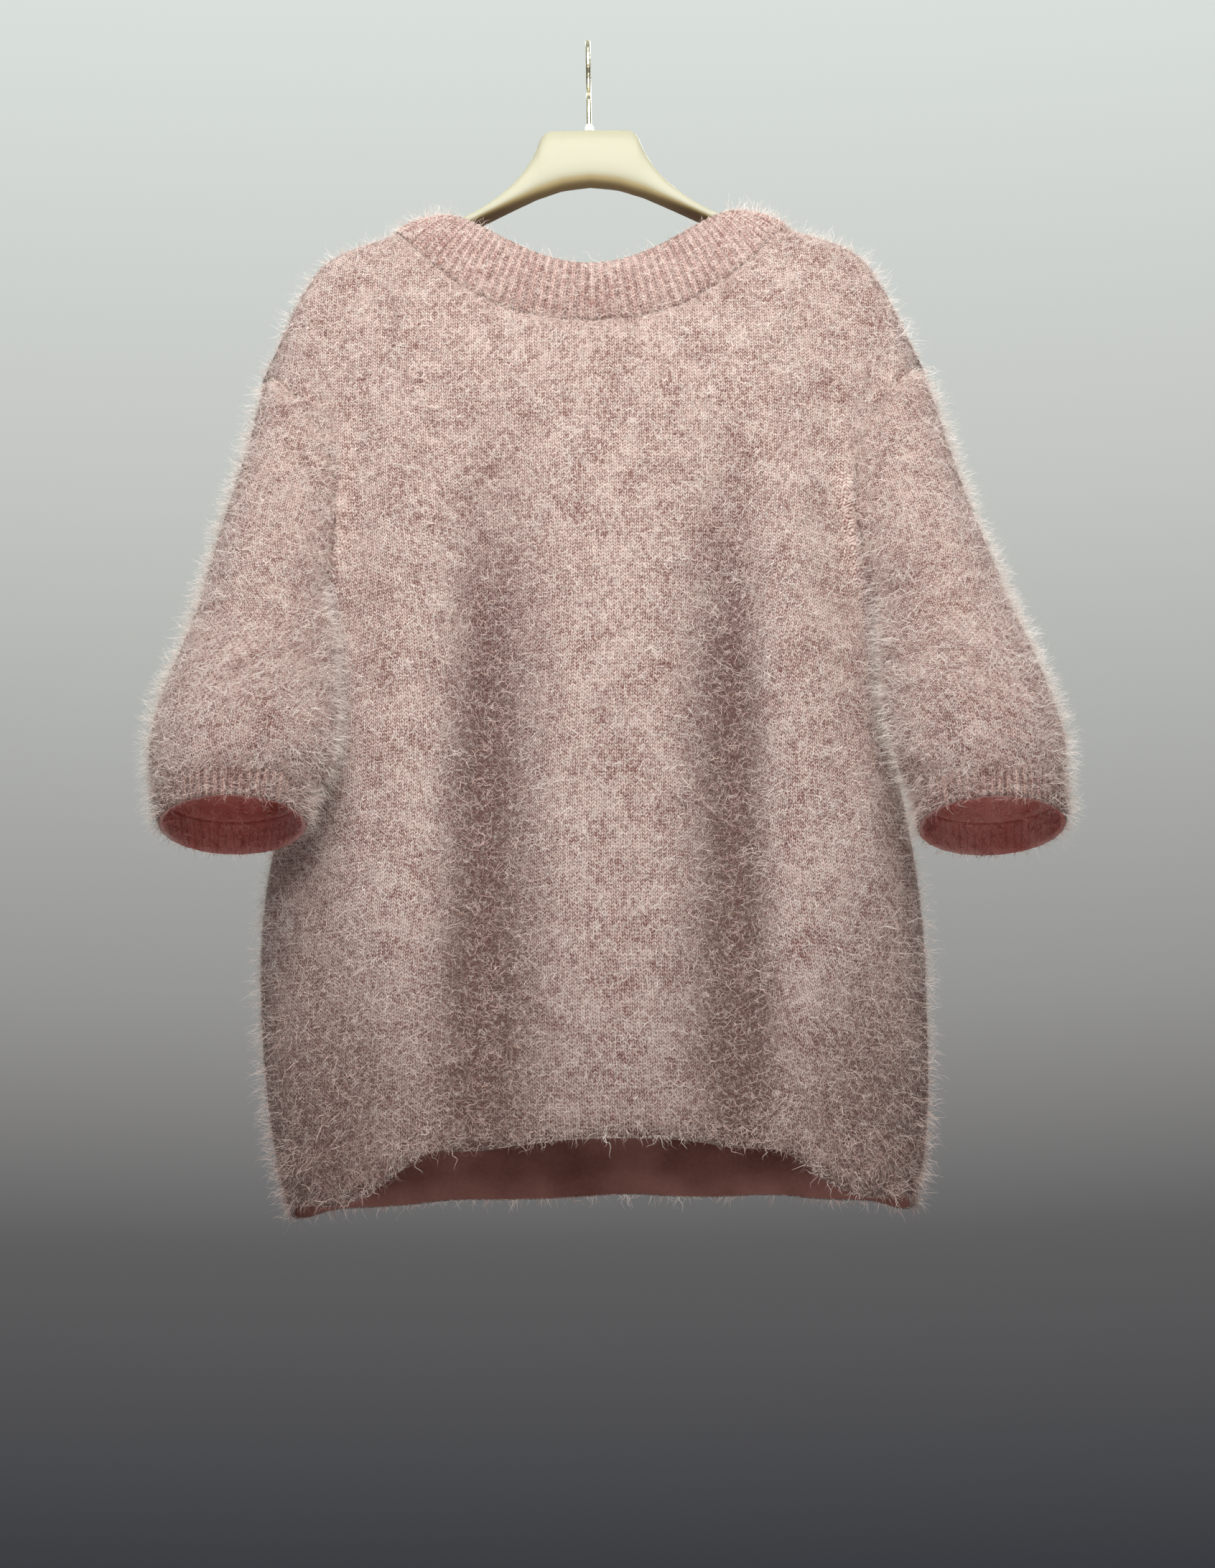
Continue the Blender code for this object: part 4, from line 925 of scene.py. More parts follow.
# Painted light: the hairs inside the cuffs take the bright rose of the lit sleeves' inside.
INNER_STOPS = [(0.00, (0.48, 0.13, 0.12)), (0.50, (0.86, 0.42, 0.39)), (1.00, (0.98, 0.76, 0.72))]
hair_fibre = hair_finish("mohair_fibre", HAIR_STOPS, 0.35)
inner_fibre = hair_finish("mohair_inner_fibre", INNER_STOPS, 0.10)
print("finishes:", hair_fibre.name, inner_fibre.name)

# %% Planting hairs
class Patches:
    """A soft random pattern in space, from waves in random directions. It runs from about -1 to 1."""

    def __init__(self, rng, shortest, longest, waves=26):
        length = rng.uniform(shortest, longest, (waves, 1))
        self.ways = unit(rng.normal(size=(waves, 3))) * 2 * math.pi / length
        self.starts = rng.uniform(0, 2 * math.pi, waves)

    def at(self, points):
        return np.sin(points @ self.ways.T + self.starts).sum(1) / math.sqrt(len(self.starts))


def plant(piece, count, rng, where):
    """Random points on a skin, the normal at each and its painted shade, from how sunk it is. where weighs
    each place, if given.
    """
    mesh = piece.data
    mesh.calc_loop_triangles()
    corners = np.empty(len(mesh.loop_triangles) * 3, np.int32)
    mesh.loop_triangles.foreach_get("vertices", corners)
    corners = corners.reshape(-1, 3)
    triangles = points_of(piece)[corners]
    leaning = read_triples(mesh.vertices, "normal")[corners]
    sides = triangles[:, 1:] - triangles[:, :1]
    area = np.linalg.norm(np.cross(sides[:, 0], sides[:, 1]), axis=1)
    if where is not None:
        area = area * where(triangles.mean(1), unit(leaning.mean(1)))
    # The painted shade written on the skin, if it has any.
    sunk = np.zeros(len(mesh.vertices), np.float32)
    if "trough" in mesh.attributes:
        mesh.attributes["trough"].data.foreach_get("value", sunk)
    chosen = rng.choice(len(area), count, p=area / area.sum())
    share = rng.random((count, 2))
    share[share.sum(1) > 1] = 1 - share[share.sum(1) > 1]
    weights = np.concatenate([1 - share.sum(1, keepdims=True), share], axis=1)
    sunk = (sunk[corners][chosen] * weights).sum(1)
    weights = weights[..., None]
    return (triangles[chosen] * weights).sum(1), unit((leaning[chosen] * weights).sum(1)), sunk


pattern_rng = np.random.default_rng(7)
BRUSHED = [Patches(pattern_rng, 0.012, 0.040) for _ in range(3)]  # which way the brush laid the hairs
SPECKLE = Patches(pattern_rng, 0.0030, 0.0075, 40)
MOTTLE = Patches(pattern_rng, 0.008, 0.028)
CLOUDS = Patches(pattern_rng, 0.050, 0.160)
SUNK_SHADE = 0.52  # how much darker painted shade makes the hairs at the bottoms of troughs
RIBBON_TAPER = 2.2


def hair_paths(roots, normals, kind, rng):
    """The points of each hair from its root to its tip, and the direction of its width at each."""
    count = len(roots)
    lean = np.stack([patches.at(roots) for patches in BRUSHED], axis=1)
    drawn = rng.normal(size=(count, 3)) + 0.5 * lean + np.array([0.0, 0.0, -kind["comb"]])
    lay = unit(drawn - (drawn * normals).sum(1, keepdims=True) * normals)
    side = np.cross(normals, lay)
    length = rng.uniform(*kind["length"], count)[:, None]
    lift = np.radians(rng.uniform(*kind["lift"], count))[:, None]
    phase = rng.uniform(0, 2 * math.pi, (count, 1))
    waves = rng.uniform(*kind["waves"], (count, 1))
    sway = rng.uniform(-1, 1, (count, 1)) * kind["sway"]
    points = []
    for share in np.linspace(0, 1, kind["segments"] + 1):
        out = length * np.sin(lift) * share * (1 - 0.45 * share * np.cos(lift)) + kind["root"]
        swing = np.sin(waves * 2 * math.pi * share + phase) - np.sin(phase)
        wave = kind["wave"] * length * swing * share**0.5
        point = roots + normals * out + lay * (length * np.cos(lift) * share)
        point = point + side * (wave + sway * length * share**2)
        point[:, 2] -= (kind["sag"] * length[:, 0]) * share**2
        points.append(point)
    points = np.stack(points, axis=1)
    run = np.gradient(points, axis=1)
    facing = normals[:, None] + rng.normal(size=(count, 1, 3)) * 0.45
    return points, unit(np.cross(run, facing))


def hair_piece(name, groups, rng, finish=hair_fibre):
    """One mesh of ribbons. groups has (skin, kind, count, where) for each lot of hairs."""
    vertices, faces, uvs, first = [], [], [], 0
    for skin, kind, count, where in groups:
        roots, normals, sunk = plant(skin, count, rng, where)
        points, width_way = hair_paths(roots, normals, kind, rng)
        segments = kind["segments"]
        share = np.linspace(0, 1, segments + 1)
        width = rng.uniform(*kind["width"], (count, 1, 1)) * (1 - share[None, :, None] ** RIBBON_TAPER) / 2
        left, right = points - width_way * width, points + width_way * width
        ribbon = np.stack([left[:, :-1], right[:, :-1]], axis=2).reshape(count, -1, 3)
        ribbon = np.concatenate([ribbon, points[:, -1:]], axis=1)
        per_hair = ribbon.shape[1]
        base = first + np.arange(count)[:, None] * per_hair
        for k in range(segments - 1):
            a = 2 * k
            faces.append(base + np.array([[a, a + 1, a + 3]]))
            faces.append(base + np.array([[a, a + 3, a + 2]]))
        a = 2 * (segments - 1)
        faces.append(base + np.array([[a, a + 1, a + 2]]))
        patchy = 0.22 * SPECKLE.at(roots) + 0.16 * MOTTLE.at(roots) + 0.06 * CLOUDS.at(roots)
        # Painted shade: hairs in troughs, between ribs and at the lower corners are made darker.
        tone = rng.normal(*kind["tone"], count) + kind["patchy"] * patchy - SUNK_SHADE * sunk
        tone = np.clip(tone, 0.0, 1.0)[:, None]
        way = np.append(np.repeat(share[:-1], 2), 1.0)
        uv = np.stack(np.broadcast_arrays(tone, way[None, :]), axis=-1)
        uvs.append(uv.reshape(-1, 2))
        vertices.append(ribbon.reshape(-1, 3))
        first += count * per_hair
    vertices, faces, uvs = np.concatenate(vertices), np.concatenate(faces), np.concatenate(uvs)
    mesh = bpy.data.meshes.new(name)
    mesh.vertices.add(len(vertices))
    mesh.vertices.foreach_set("co", vertices.reshape(-1).astype(np.float32))
    mesh.loops.add(faces.size)
    mesh.loops.foreach_set("vertex_index", faces.reshape(-1).astype(np.int32))
    mesh.polygons.add(len(faces))
    mesh.polygons.foreach_set("loop_start", np.arange(0, faces.size, 3, dtype=np.int32))
    mesh.polygons.foreach_set("use_smooth", np.ones(len(faces), bool))
    layer = mesh.uv_layers.new(name="hair")
    layer.data.foreach_set("uv", uvs[faces.reshape(-1)].reshape(-1).astype(np.float32))
    mesh.update(calc_edges=True)
    mesh.materials.append(finish)
    made = bpy.data.objects.new(name, mesh)
    bpy.context.scene.collection.objects.link(made)
    print(name, "triangles:", len(faces))
    return made


# What most kinds of hair share. comb is how much the brush drew them down, and root how deep they start.
USUAL_HAIR = {
    "comb": 0.2,
    "wave": 0.06,
    "waves": (0.6, 1.6),
    "sway": 0.35,
    "sag": 0.0,
    "patchy": 1.0,
    "root": -0.0004,
}
CURLY = {"wave": 0.17, "waves": (1.0, 2.1), "sway": 0.8}


def hair_kind(length, lift, width, segments, tone, **more):
    """length and width in metres and lift in degrees, least and most. tone is a mean and a spread."""
    sizes = {"length": length, "lift": lift, "width": width, "segments": segments, "tone": tone}
    return {**USUAL_HAIR, **sizes, **more}


NAP = hair_kind((0.003, 0.007), (10, 55), (0.00026, 0.00042), 2, (0.48, 0.20), sway=0.6)
SLEEVE_NAP = {**NAP, "tone": (0.60, 0.20)}
FIBRE = hair_kind((0.006, 0.015), (6, 38), (0.00026, 0.00042), 6, (0.88, 0.14), patchy=0.7, **CURLY)
HALO = hair_kind(
    (0.008, 0.019), (35, 80), (0.00022, 0.00034), 3, (0.96, 0.06), sag=0.08, wave=0.10, patchy=0.0
)
FRINGE = hair_kind((0.005, 0.011), (10, 60), (0.00020, 0.00030), 3, (0.62, 0.16), comb=0.4, sag=0.12)
SEAM_NAP = hair_kind((0.006, 0.012), (5, 30), (0.00024, 0.00036), 3, (0.46, 0.18), sway=0.6)

# %% [markdown]
# The front and the back
#
# One panel each, from the neckline over the shoulders to the plain rolled hem. The hollow inside is a
# thin slab in the middle of the garment, which tells which side of the skin is its outside.

# %% Front and back panels of knitting
rng = np.random.default_rng(61)
skins = {}
FOLDS_OF = {"front": FRONT_FOLDS, "back": BACK_FOLDS}


def middle_slab(points):
    return np.stack([0.85 * points[:, 0], 0 * points[:, 1], np.minimum(points[:, 2], -0.24)], axis=1)


for facing, grid in panels.items():
    piece = cloth_skin(facing + "_knit", grid)
    face_outwards(piece, middle_slab)
    mark_painted_shade(piece, painted_shade_share(points_of(piece), FOLDS_OF[facing]))
    skins[facing] = piece
    print(piece.name, "area m2:", round(skin_area(piece), 4))

# %% [markdown]
# The sleeves
#
# The same steps on the sleeves' grids. Their hollow is the line through the middles of their sections.

# %% Sleeves of knitting
for side, grid in sleeve_grids.items():
    piece = cloth_skin("sleeve_" + side + "_knit", grid)

    def sleeve_middle(points, side=side):
        middle_x, _, middle_y, _ = section(side, points[:, 2])
        return np.stack([SIDES[side] * middle_x, middle_y, points[:, 2] - 0.01], axis=1)

    face_outwards(piece, sleeve_middle)
    skins["sleeve_" + side] = piece
    print(piece.name, "area m2:", round(skin_area(piece), 4))

# %% [markdown]
# Ribbed bands
#
# The neckband has 112 ribs about 5 mm apart, and each cuff 56. A rib is a smooth ridge that starts at
# the seam and runs to the open edge, so each band is a ring of points with a wave on it.

# %% Neckband
NECK_RIBS = 112
NECK_RIB_HEIGHT = 0.0021
CUFF_RIBS = 56
CUFF_RIB_HEIGHT = 0.0012
RIB_POINTS = 6
BAND_WALL = 0.0026
BAND_SWELL = 0.0025
NECK_ROWS = (0.0, 0.05, 0.14, 0.28, 0.44, 0.60, 0.76, 0.90, 1.0)  # from the seam to the open edge
NECK_FADE = (0.25, 0.7, 1.0, 1.0, 1.0, 1.0, 1.0, 0.8, 0.4)  # how tall the ribs are on each row
NECK_RIB_SHADE = 0.62  # how much painted shade the knitting gets between two ribs
FRONT_EDGE_DROP = 0.058
BACK_EDGE_DROP = 0.020
FRONT_EDGE_DEPTH = 0.046
BACK_EDGE_DEPTH = 0.041


def neck_edge(turn):
    """The neckband's open edge. turn is 0 at the right shoulder and a quarter turn at the front."""
    front = np.sin(turn) > 0
    swing = np.abs(np.sin(turn))
    across = NECK_EDGE_HALF * np.cos(turn)
    drop = np.where(front, FRONT_EDGE_DROP, BACK_EDGE_DROP) * swing**2.8
    depth = np.where(front, -FRONT_EDGE_DEPTH, BACK_EDGE_DEPTH) * swing
    return np.stack([across, depth, DROOP.at("height", NECK_EDGE_HALF) - drop], axis=1)


def closed_seam(edge, places, count):
    """A closed seam with count points, read straight between its own points."""
    wanted = np.linspace(0, 2 * math.pi, count, endpoint=False)
    places = np.append(places, places[0] + 2 * math.pi)
    closed = np.concatenate([edge, edge[:1]])
    return wanted, np.stack([np.interp(wanted, places, closed[:, axis]) for axis in range(3)], axis=1)


def ring_normals(rows, inside):
    """Outward normals of a ring of rows."""
    wide = np.concatenate([rows[:, -1:], rows, rows[:, :1]], axis=1)
    across, down = np.gradient(wide, axis=1)[:, 1:-1], np.gradient(rows, axis=0)
    normals = unit(np.cross(unit(across), unit(down)))
    return normals if ((rows - inside) * normals).sum() > 0 else -normals


def ribbed_ring(rows, inside, ribs, height, fade):
    """Ribs on a ring. fade holds how tall the ribs are on each row."""
    turn = np.arange(rows.shape[1]) / rows.shape[1] * 2 * math.pi
    wave = (0.5 + 0.5 * np.cos(turn * ribs)) ** 0.8
    return rows + ring_normals(rows, inside) * (height * np.array(fade)[:, None] * wave)[..., None]


def nearest(points):
    """A tree that finds the nearest of these points."""
    tree = KDTree(len(points))
    for number, point in enumerate(points):
        tree.insert(point, number)
    tree.balance()
    return tree


def painted_rib_shade(piece, ring, ribs, depth):
    """How much painted shade each point of a band gets: depth between two ribs and 0 on a rib's top."""
    turn = np.arange(ring.shape[1]) / (ring.shape[1] - 1) * 2 * math.pi
    valley = depth * (0.5 - 0.5 * np.cos(turn * ribs)) ** 1.3
    share = np.tile(valley, ring.shape[0])
    tree = nearest(ring.reshape(-1, 3))
    return [share[tree.find(point)[1]] for point in points_of(piece)]


def ring_uv(rows):
    closed = np.concatenate([rows, rows[:, :1]], axis=1)
    across = np.broadcast_to(along(closed[-1:], 1, [0, 1, 2]), closed.shape[:2])
    return np.stack([across, along(closed, 0, [0, 1, 2])], axis=-1) + 1.0


middle = slice(SIDE_COLUMNS - NECK_COLUMNS, SIDE_COLUMNS + NECK_COLUMNS + 1)
neck_seam = np.concatenate([panels["front"][0, middle][::-1], panels["back"][0, middle][1:-1]])
quarter = np.radians(90 - np.array(NECK_TURNS[::-1], float))
mirrored = quarter[:0:-1]
neck_places = np.concatenate(
    [quarter[:-1], math.pi - mirrored, math.pi + quarter[:-1], 2 * math.pi - mirrored]
)
neck_places = np.sort(np.unique(np.round(np.append(neck_places, [math.pi / 2, 3 * math.pi / 2]), 9)))
turn, neck_seam_line = closed_seam(neck_seam, neck_places, NECK_RIBS * RIB_POINTS)
open_edge = neck_edge(turn)
neck_rows = []
for share in NECK_ROWS:
    row = neck_seam_line * (1 - share) + open_edge * share
    swell = BAND_SWELL * 4 * share * (1 - share)
    over_arm = round_top(row[:, 0], row[:, 2]) * np.clip(np.abs(np.sin(turn)) / 0.10, 0, 1)
    flat = np.abs(row[:, 1]) + swell
    row[:, 1] = np.copysign(np.where(share > 0, np.maximum(flat, over_arm), flat), row[:, 1])
    row[:, 2] += swell * (1 - np.abs(np.sin(turn)))
    neck_rows.append(row)
neck_rows = np.array(neck_rows)
neck_inside = np.array([0.0, 0.0, -0.23])
ribbed_neck = ribbed_ring(neck_rows, neck_inside, NECK_RIBS, NECK_RIB_HEIGHT, NECK_FADE)
ring = np.concatenate([ribbed_neck, ribbed_neck[:, :1]], axis=1)
skins["neckband"] = cloth_skin("neckband_rib", ring, 0, ring_uv(ribbed_neck))
face_outwards(skins["neckband"], lambda p: p * 0 + neck_inside)
mark_painted_shade(skins["neckband"], painted_rib_shade(skins["neckband"], ring, NECK_RIBS, NECK_RIB_SHADE))
print("neckband area m2:", round(skin_area(skins["neckband"]), 4))

# %% Cuffs
CUFF_DEPTH = 0.021
CUFF_ROWS = (0.0, 0.10, 0.25, 0.45, 0.65, 0.85, 1.0)
CUFF_FADE = (0.3, 0.8, 1, 1, 1, 0.8, 0.4)
# Painted shade between the cuff's ribs, at full strength.
CUFF_RIB_SHADE = 1.0
for side, grid in sleeve_grids.items():
    middle_x, half_x, middle_y, half_y = section(side, CUFF_TOPS[side])
    centre = np.array([SIDES[side] * middle_x, middle_y, CUFF_TOPS[side] - CUFF_DEPTH])
    places = np.linspace(0, 2 * math.pi, SLEEVE_COLUMNS, endpoint=False)
    _, seam = closed_seam(grid[-1, :-1], places, CUFF_RIBS * RIB_POINTS)
    spread = (seam - centre) / np.array([half_x, half_y, CUFF_DEPTH])
    edge = centre + spread * np.array([CUFF_EDGE_HALF_X, CUFF_EDGE_HALF_Y, 0.0])
    rows = np.array([seam * (1 - share) + edge * share for share in CUFF_ROWS])
    inside = centre + np.array([0, 0, CUFF_DEPTH / 2])
    rows = ribbed_ring(rows, inside, CUFF_RIBS, CUFF_RIB_HEIGHT, CUFF_FADE)
    ring = np.concatenate([rows, rows[:, :1]], axis=1)
    piece = cloth_skin("cuff_" + side + "_rib", ring, 0, ring_uv(rows))
    face_outwards(piece, lambda p, inside=inside: p * 0 + inside)
    mark_painted_shade(piece, painted_rib_shade(piece, ring, CUFF_RIBS, CUFF_RIB_SHADE))
    skins["cuff_" + side] = piece
print("cuffs:", [name for name in skins if name.startswith("cuff")])

# %% [markdown]
# Planting the hairs
#
# Each sleeve and the neckband get one mesh of hairs, and each cuff a second one for its inside. The
# front, which has the largest share of the picture, gets three and the back two. The bands are brushed
# less, so their hairs are shorter and their ribs stay readable.

# %% Hairs of every piece
BAND_NAP = hair_kind((0.0025, 0.006), (15, 60), (0.00022, 0.00034), 2, (0.62, 0.18), patchy=0.6)
BAND_FIBRE = hair_kind((0.005, 0.012), (5, 30), (0.00020, 0.00030), 6, (0.86, 0.16), patchy=0.6, **CURLY)
# Painted shade: the cuffs' hairs get darker tones, for the shade on the downward-facing bands.
CUFF_NAP_PAINTED_DARK = hair_kind((0.003, 0.007), (15, 60), (0.00022, 0.00034), 2, (0.30, 0.16), comb=0.8)
CUFF_FIBRE_PAINTED_DARK = hair_kind((0.006, 0.013), (5, 35), (0.00020, 0.00030), 6, (0.66, 0.22), **CURLY)
INNER_NAP = hair_kind((0.004, 0.008), (-50, -10), (0.00034, 0.00052), 2, (0.50, 0.22), root=-0.0025)
SEAM_REACH = 0.008
INNER_REACH = 0.030
FRINGE_REACH = 0.020


def near_hem(centres, normals):
    return np.clip((HEM + FRINGE_REACH - centres[:, 2]) / FRINGE_REACH, 0, 1)


def turned_away(centres, normals):
    """More hairs stand out where the cloth turns from the front to the side."""
    return 0.25 + (1 - np.abs(normals[:, 1])) ** 1.5


def near_line(line, reach=SEAM_REACH):
    """Weighs each place by how near it lies to a line of points, such as a seam."""
    tree = nearest(line)

    def weigh(centres, normals):
        gaps = np.array([tree.find(centre)[2] for centre in centres])
        return np.clip(1.2 - gaps / reach, 0, 1)

    return weigh


def lots(skin, nap, fibre, halo, kinds):
    """The three kinds of hair that grow together on one skin."""
    return [(skin, kinds[0], nap, None), (skin, kinds[1], fibre, None), (skin, HALO, halo, turned_away)]


BAND_KINDS = (BAND_NAP, BAND_FIBRE)
CUFF_KINDS = (CUFF_NAP_PAINTED_DARK, CUFF_FIBRE_PAINTED_DARK)
armholes = {side: grid[:closed_from, [0, -1]].reshape(-1, 3) for side, grid in sleeve_grids.items()}
seams = np.concatenate([*armholes.values(), neck_seam_line, panels["front"][0]])
front, back = skins["front"], skins["back"]
PANEL_HAIRS = {
    "front_nap": [(front, NAP, 28500, None), (front, SEAM_NAP, 3200, near_line(seams))],
    "front_fibres": [(front, FIBRE, 16500, None)],
    "front_halo": [(front, HALO, 9500, turned_away), (front, FRINGE, 3500, near_hem)],
    "back_nap": [(back, NAP, 10000, None), (back, SEAM_NAP, 2200, near_line(seams))],
    "back_hairs": [
        (back, FIBRE, 4500, None), (back, HALO, 6500, turned_away), (back, FRINGE, 2500, near_hem)
    ],
}
hairs = {"front": [], "back": []}
for name, groups in PANEL_HAIRS.items():
    hairs[name.split("_")[0]].append(hair_piece(name, groups, rng))
for side in SIDES:
    skin = skins["sleeve_" + side]
    seam_hairs = (skin, SEAM_NAP, 1200, near_line(armholes[side]))
    lower_hairs = (skin, FRINGE, 1500, near_line(sleeve_grids[side][-1]))
    groups = [*lots(skin, 12000, 6200, 7500, (SLEEVE_NAP, FIBRE)), seam_hairs, lower_hairs]
    hairs["sleeve_" + side] = [hair_piece("sleeve_" + side + "_hairs", groups, rng)]
    skin = skins["cuff_" + side]
    lower_edge = near_line(sleeve_grids[side][-1], INNER_REACH)
    inner = [(skin, INNER_NAP, 2200, None), (skins["sleeve_" + side], INNER_NAP, 1800, lower_edge)]
    hairs["cuff_" + side] = [
        hair_piece("cuff_" + side + "_hairs", lots(skin, 1500, 500, 900, CUFF_KINDS), rng),
        hair_piece("cuff_" + side + "_inner_hairs", inner, rng, inner_fibre),
    ]
skin = skins["neckband"]
groups = [*lots(skin, 6500, 1500, 1700, BAND_KINDS), (skin, SEAM_NAP, 700, near_line(neck_seam_line))]
hairs["neckband"] = [hair_piece("neckband_hairs", groups, rng)]

# %% [markdown]
# Thickness
#
# Now the skins become cloth with an inside. Each piece stands for its solid, rides on the one body,
# and its solid is hidden. Its area is the skin's own, up to that of the whole rectangle, and isn't
# worked out from a cut. A table gives a guess of the size that each was knitted to.

# %% Thickness
rib_outside = knit_finish(
    "mohair_rib", colour(0.94, 0.735, 0.665), colour(0.42, 0.220, 0.190), RIB_RELIEF
)
# Painted shade: the cuffs' knitting is a darker copy of the rib, for the shade on the downward-facing
# bands.
cuff_outside_painted_shade = knit_finish(
    "mohair_cuff_painted_shade", colour(0.70, 0.480, 0.420), colour(0.15, 0.065, 0.055), RIB_RELIEF, CUFF_GLOW
)
OUTSIDES = {
    "neckband": rib_outside,
    "cuff_left": cuff_outside_painted_shade,
    "cuff_right": cuff_outside_painted_shade,
    "sleeve_left": sleeve_outside,
    "sleeve_right": sleeve_outside,
}
# The flat size of each sheet in metres, as it was knitted.
SHEETS = Table(
    "node width length",
    ("front", 0.560, 0.700),
    ("back", 0.560, 0.700),
    ("sleeve_left", 0.340, 0.330),
    ("sleeve_right", 0.340, 0.330),
    ("neckband", 0.680, 0.038),
    ("cuff_left", 0.310, 0.022),
    ("cuff_right", 0.310, 0.022),
)
for size in SHEETS.records():
    node = size["node"]
    piece = skins[node]
    band = node.startswith(("neckband", "cuff"))
    cut = size["width"] * size["length"]
    of_sleeve = node.startswith(("sleeve", "cuff"))
    inside = sleeve_inside_painted_light if of_sleeve else body_inside_painted_shade
    wall = BAND_WALL if band else KNIT_WALL
    give_thickness(piece, wall, OUTSIDES.get(node, knit_outside), inside, 1 if of_sleeve else 0)
    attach(piece, "root")
    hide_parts(node)
    for hair in hairs[node]:
        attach(hair, "root")

# %% [markdown]
# The hanger
#
# A moulded plastic hanger: a flat plate under the hook that runs out into two round-edged arms. It is
# lofted from sections, as its mould would be drawn, and its underside, which the light hardly
# reaches, is painted a darker, warmer tan as painted shade.

# %% Hanger
HANGER_SIDES = 24
HANGER_SQUARE = 2 / 3.2  # how square its section is, where 1 is an ellipse
# The hanger from its middle to its tip: a plate under the hook, a steep flank, then a thin arm.
HANGER = Table(
    "across top bottom half_depth",
    (0.000, -0.0690, -0.1115, 0.0095),
    (0.019, -0.0690, -0.1141, 0.0095),
    (0.028, -0.0692, -0.1172, 0.0095),
    (0.0335, -0.0735, -0.1192, 0.0094),
    (0.038, -0.0850, -0.1208, 0.0090),
    (0.0436, -0.0965, -0.1235, 0.0088),
    (0.0526, -0.1095, -0.1278, 0.0088),
    (0.0627, -0.1198, -0.1328, 0.0088),
    (0.0746, -0.1295, -0.1390, 0.0089),
    (0.0885, -0.1378, -0.1465, 0.0090),
    (0.104, -0.1445, -0.1540, 0.0092),
    (0.137, -0.1565, -0.1680, 0.0098),
    (0.158, -0.1643, -0.1762, 0.0100),
    (0.170, -0.1700, -0.1815, 0.0098),
    (0.177, -0.1755, -0.1815, 0.0080),
    (0.180, -0.1780, -0.1805, 0.0050),
)


def hanger_section(across, top, bottom, half_depth):
    """A rounded oblong across the arm, drawn from its top round the front."""
    turn = np.linspace(0, 2 * math.pi, HANGER_SIDES, endpoint=False) + math.pi / HANGER_SIDES
    y = -half_depth * np.sign(np.sin(turn)) * np.abs(np.sin(turn)) ** HANGER_SQUARE
    z = (top - bottom) / 2 * np.sign(np.cos(turn)) * np.abs(np.cos(turn)) ** HANGER_SQUARE
    return np.stack([np.full_like(y, across), y, z + (top + bottom) / 2], axis=1)


def plastic_finish(name):
    made, wire, shader = new_finish(name)
    spot = wire.node("TexCoord", out=3)
    cloudy = wire.node("TexNoise", None, {"Vector": spot, "Scale": 26.0, "Detail": 3.0})
    downwards = wire.node("SeparateXYZ", None, {"Vector": wire.node("NewGeometry", out=1)}, out=2)
    # Painted shade: faces that look downwards are mixed towards a darker tan.
    painted_underside_shade = wire.math("MULTIPLY", downwards + 0.22, -3.2, clamp=True)
    cream = cloudy.mix(colour(0.400, 0.392, 0.282), colour(0.455, 0.446, 0.330))
    feed(shader, "Base Color", painted_underside_shade.mix(cream, colour(0.42, 0.330, 0.160)))
    grain = wire.node("TexNoise", None, {"Vector": spot, "Scale": 900.0, "Detail": 2.0})
    feed(shader, "Roughness", cloudy * 0.14 + 0.36)
    feed(shader, "Normal", wire.node("Bump", None, {"Strength": 0.06, "Distance": 0.0004, "Height": grain}))
    shader.inputs["Specular IOR Level"].default_value = 0.3
    shader.inputs["Subsurface Weight"].default_value = 0.12
    shader.inputs["Subsurface Radius"].default_value = (0.01, 0.008, 0.005)
    return made


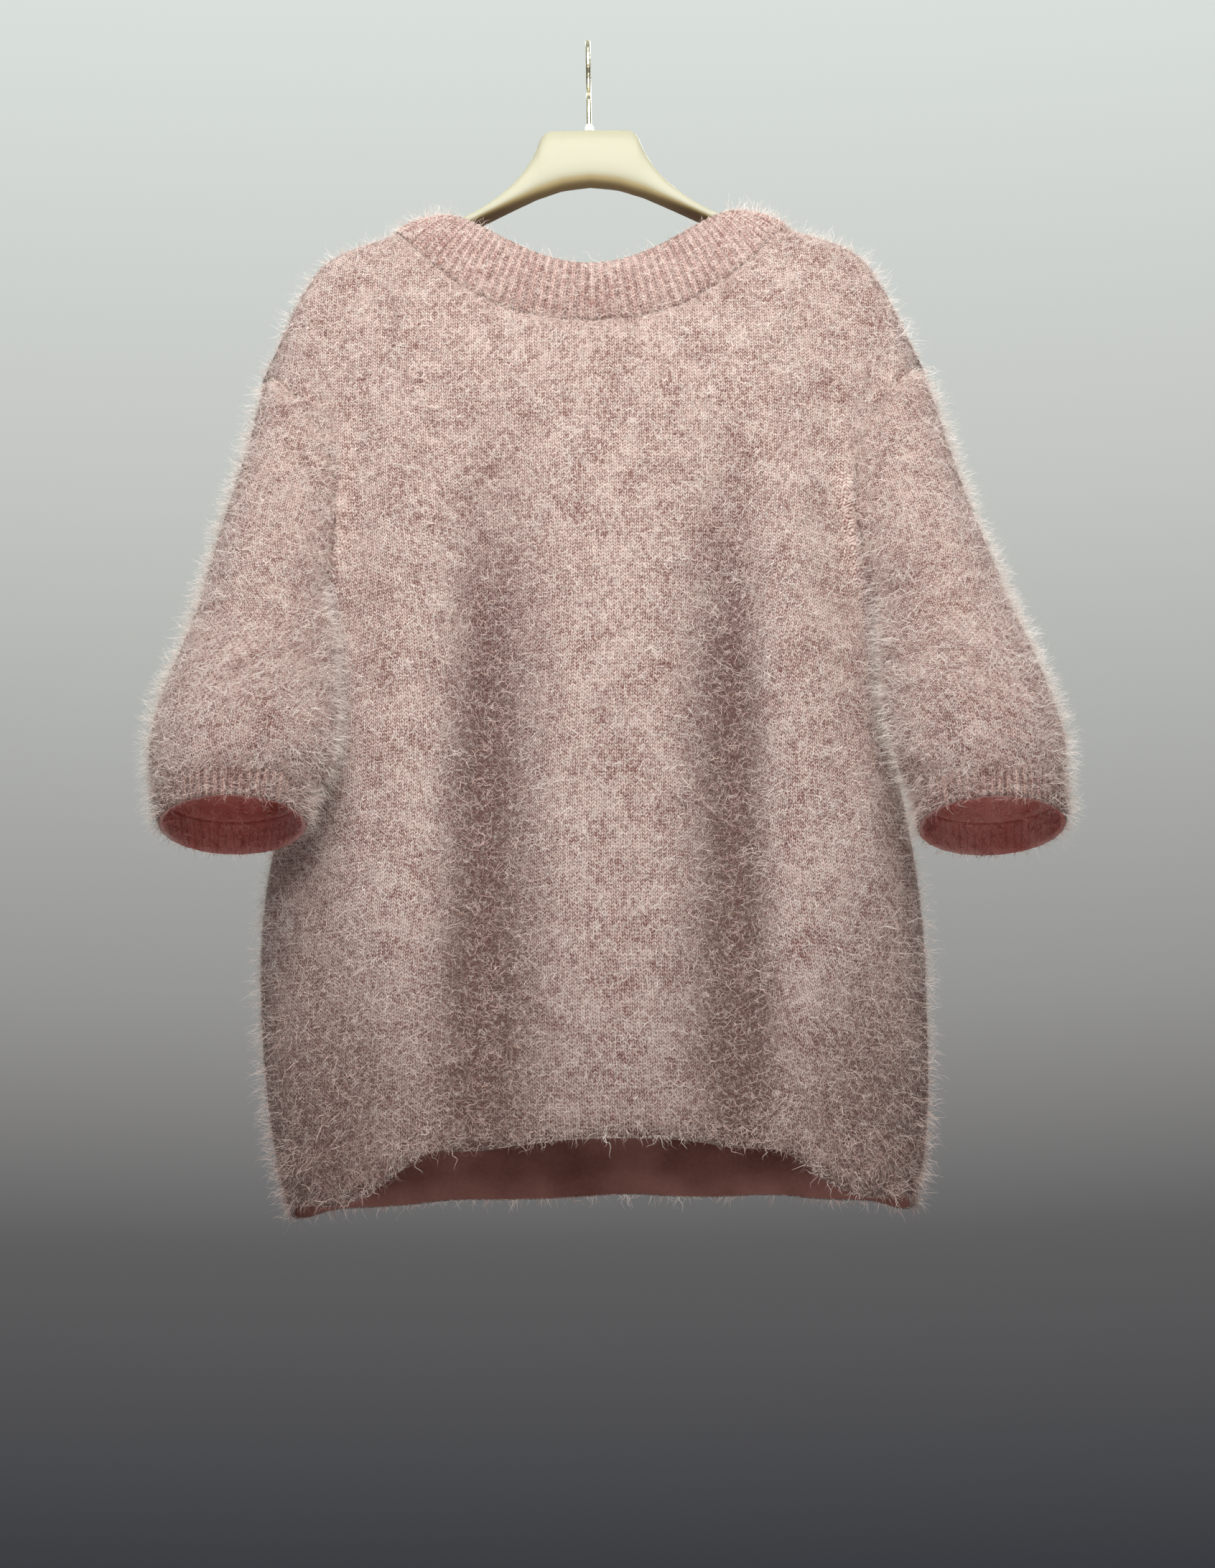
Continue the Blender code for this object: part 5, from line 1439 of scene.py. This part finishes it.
# Sections crowd together where the plate turns into the flank, and at the tip.
PLATE, FLANK, ARM = (0.0, 0.028, 9), (0.030, 0.042, 11), (0.046, 0.170, 34)
TIP = (0.174, 0.177, 0.179, 0.180)
half = np.concatenate([*(np.linspace(*stretch) for stretch in (PLATE, FLANK, ARM)), TIP])
stations = np.concatenate([-half[:0:-1], half])
rings = []
for x in stations:
    sizes = [HANGER.at(name, abs(x)) for name in HANGER.names[1:]]
    around = hanger_section(x, *sizes)
    rings.append(np.concatenate([around, around[:1]]))
hanger = cloth_skin("hanger_moulding", np.array(rings), 0)
bpy.ops.object.mode_set(mode="EDIT")
bpy.ops.mesh.select_all(action="DESELECT")
bpy.ops.mesh.select_non_manifold()
bpy.ops.mesh.edge_face_add()
bpy.ops.object.mode_set(mode="OBJECT")
face_outwards(hanger, lambda p: p * np.array([1.0, 0.0, 1.0]) * 0.999)
bpy.ops.object.mode_set(mode="EDIT")
bpy.ops.mesh.select_all(action="SELECT")
bpy.ops.mesh.normals_make_consistent(inside=False)
bpy.ops.object.mode_set(mode="OBJECT")
hanger.data.materials.append(plastic_finish("cream_moulding"))
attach(hanger, "root")
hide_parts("hanger")
hanger.select_set(False)
print("hanger faces:", len(hanger.data.polygons))

# %% [markdown]
# Hook and collar
#
# The wire and its little white collar are small and plain, and their solids already have the right
# shape, so they stay and only get their finish.

# %% Hook and collar finishes
def wire_finish():
    made, wire, shader = new_finish("plated_wire")
    spot = wire.node("TexCoord", out=3)
    worn = wire.node("TexNoise", None, {"Vector": spot, "Scale": 300.0, "Detail": 4.0})
    feed(shader, "Base Color", worn.mix(colour(0.66, 0.60, 0.40), colour(0.82, 0.78, 0.58)))
    feed(shader, "Roughness", worn * 0.2 + 0.18)
    shader.inputs["Metallic"].default_value = 1.0
    return made


def collar_finish():
    made, wire, shader = new_finish("white_collar")
    spot = wire.node("TexCoord", out=3)
    soft = wire.node("TexNoise", None, {"Vector": spot, "Scale": 500.0})
    feed(shader, "Base Color", soft.mix(colour(0.84, 0.84, 0.80), colour(0.92, 0.92, 0.89)))
    shader.inputs["Roughness"].default_value = 0.35
    return made


def refinish(node, finish):
    """frame["nodes"] names the objects of the solids, and only their finish changes."""
    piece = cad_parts[node]
    for slot in piece.material_slots:
        slot.material = finish


refinish("hook", wire_finish())
refinish("hook_collar", collar_finish())

# %% Finish
meshes = [thing.data for thing in bpy.data.objects if thing.type == "MESH"]
print("triangles in all:", sum(len(face.vertices) - 2 for mesh in meshes for face in mesh.polygons))
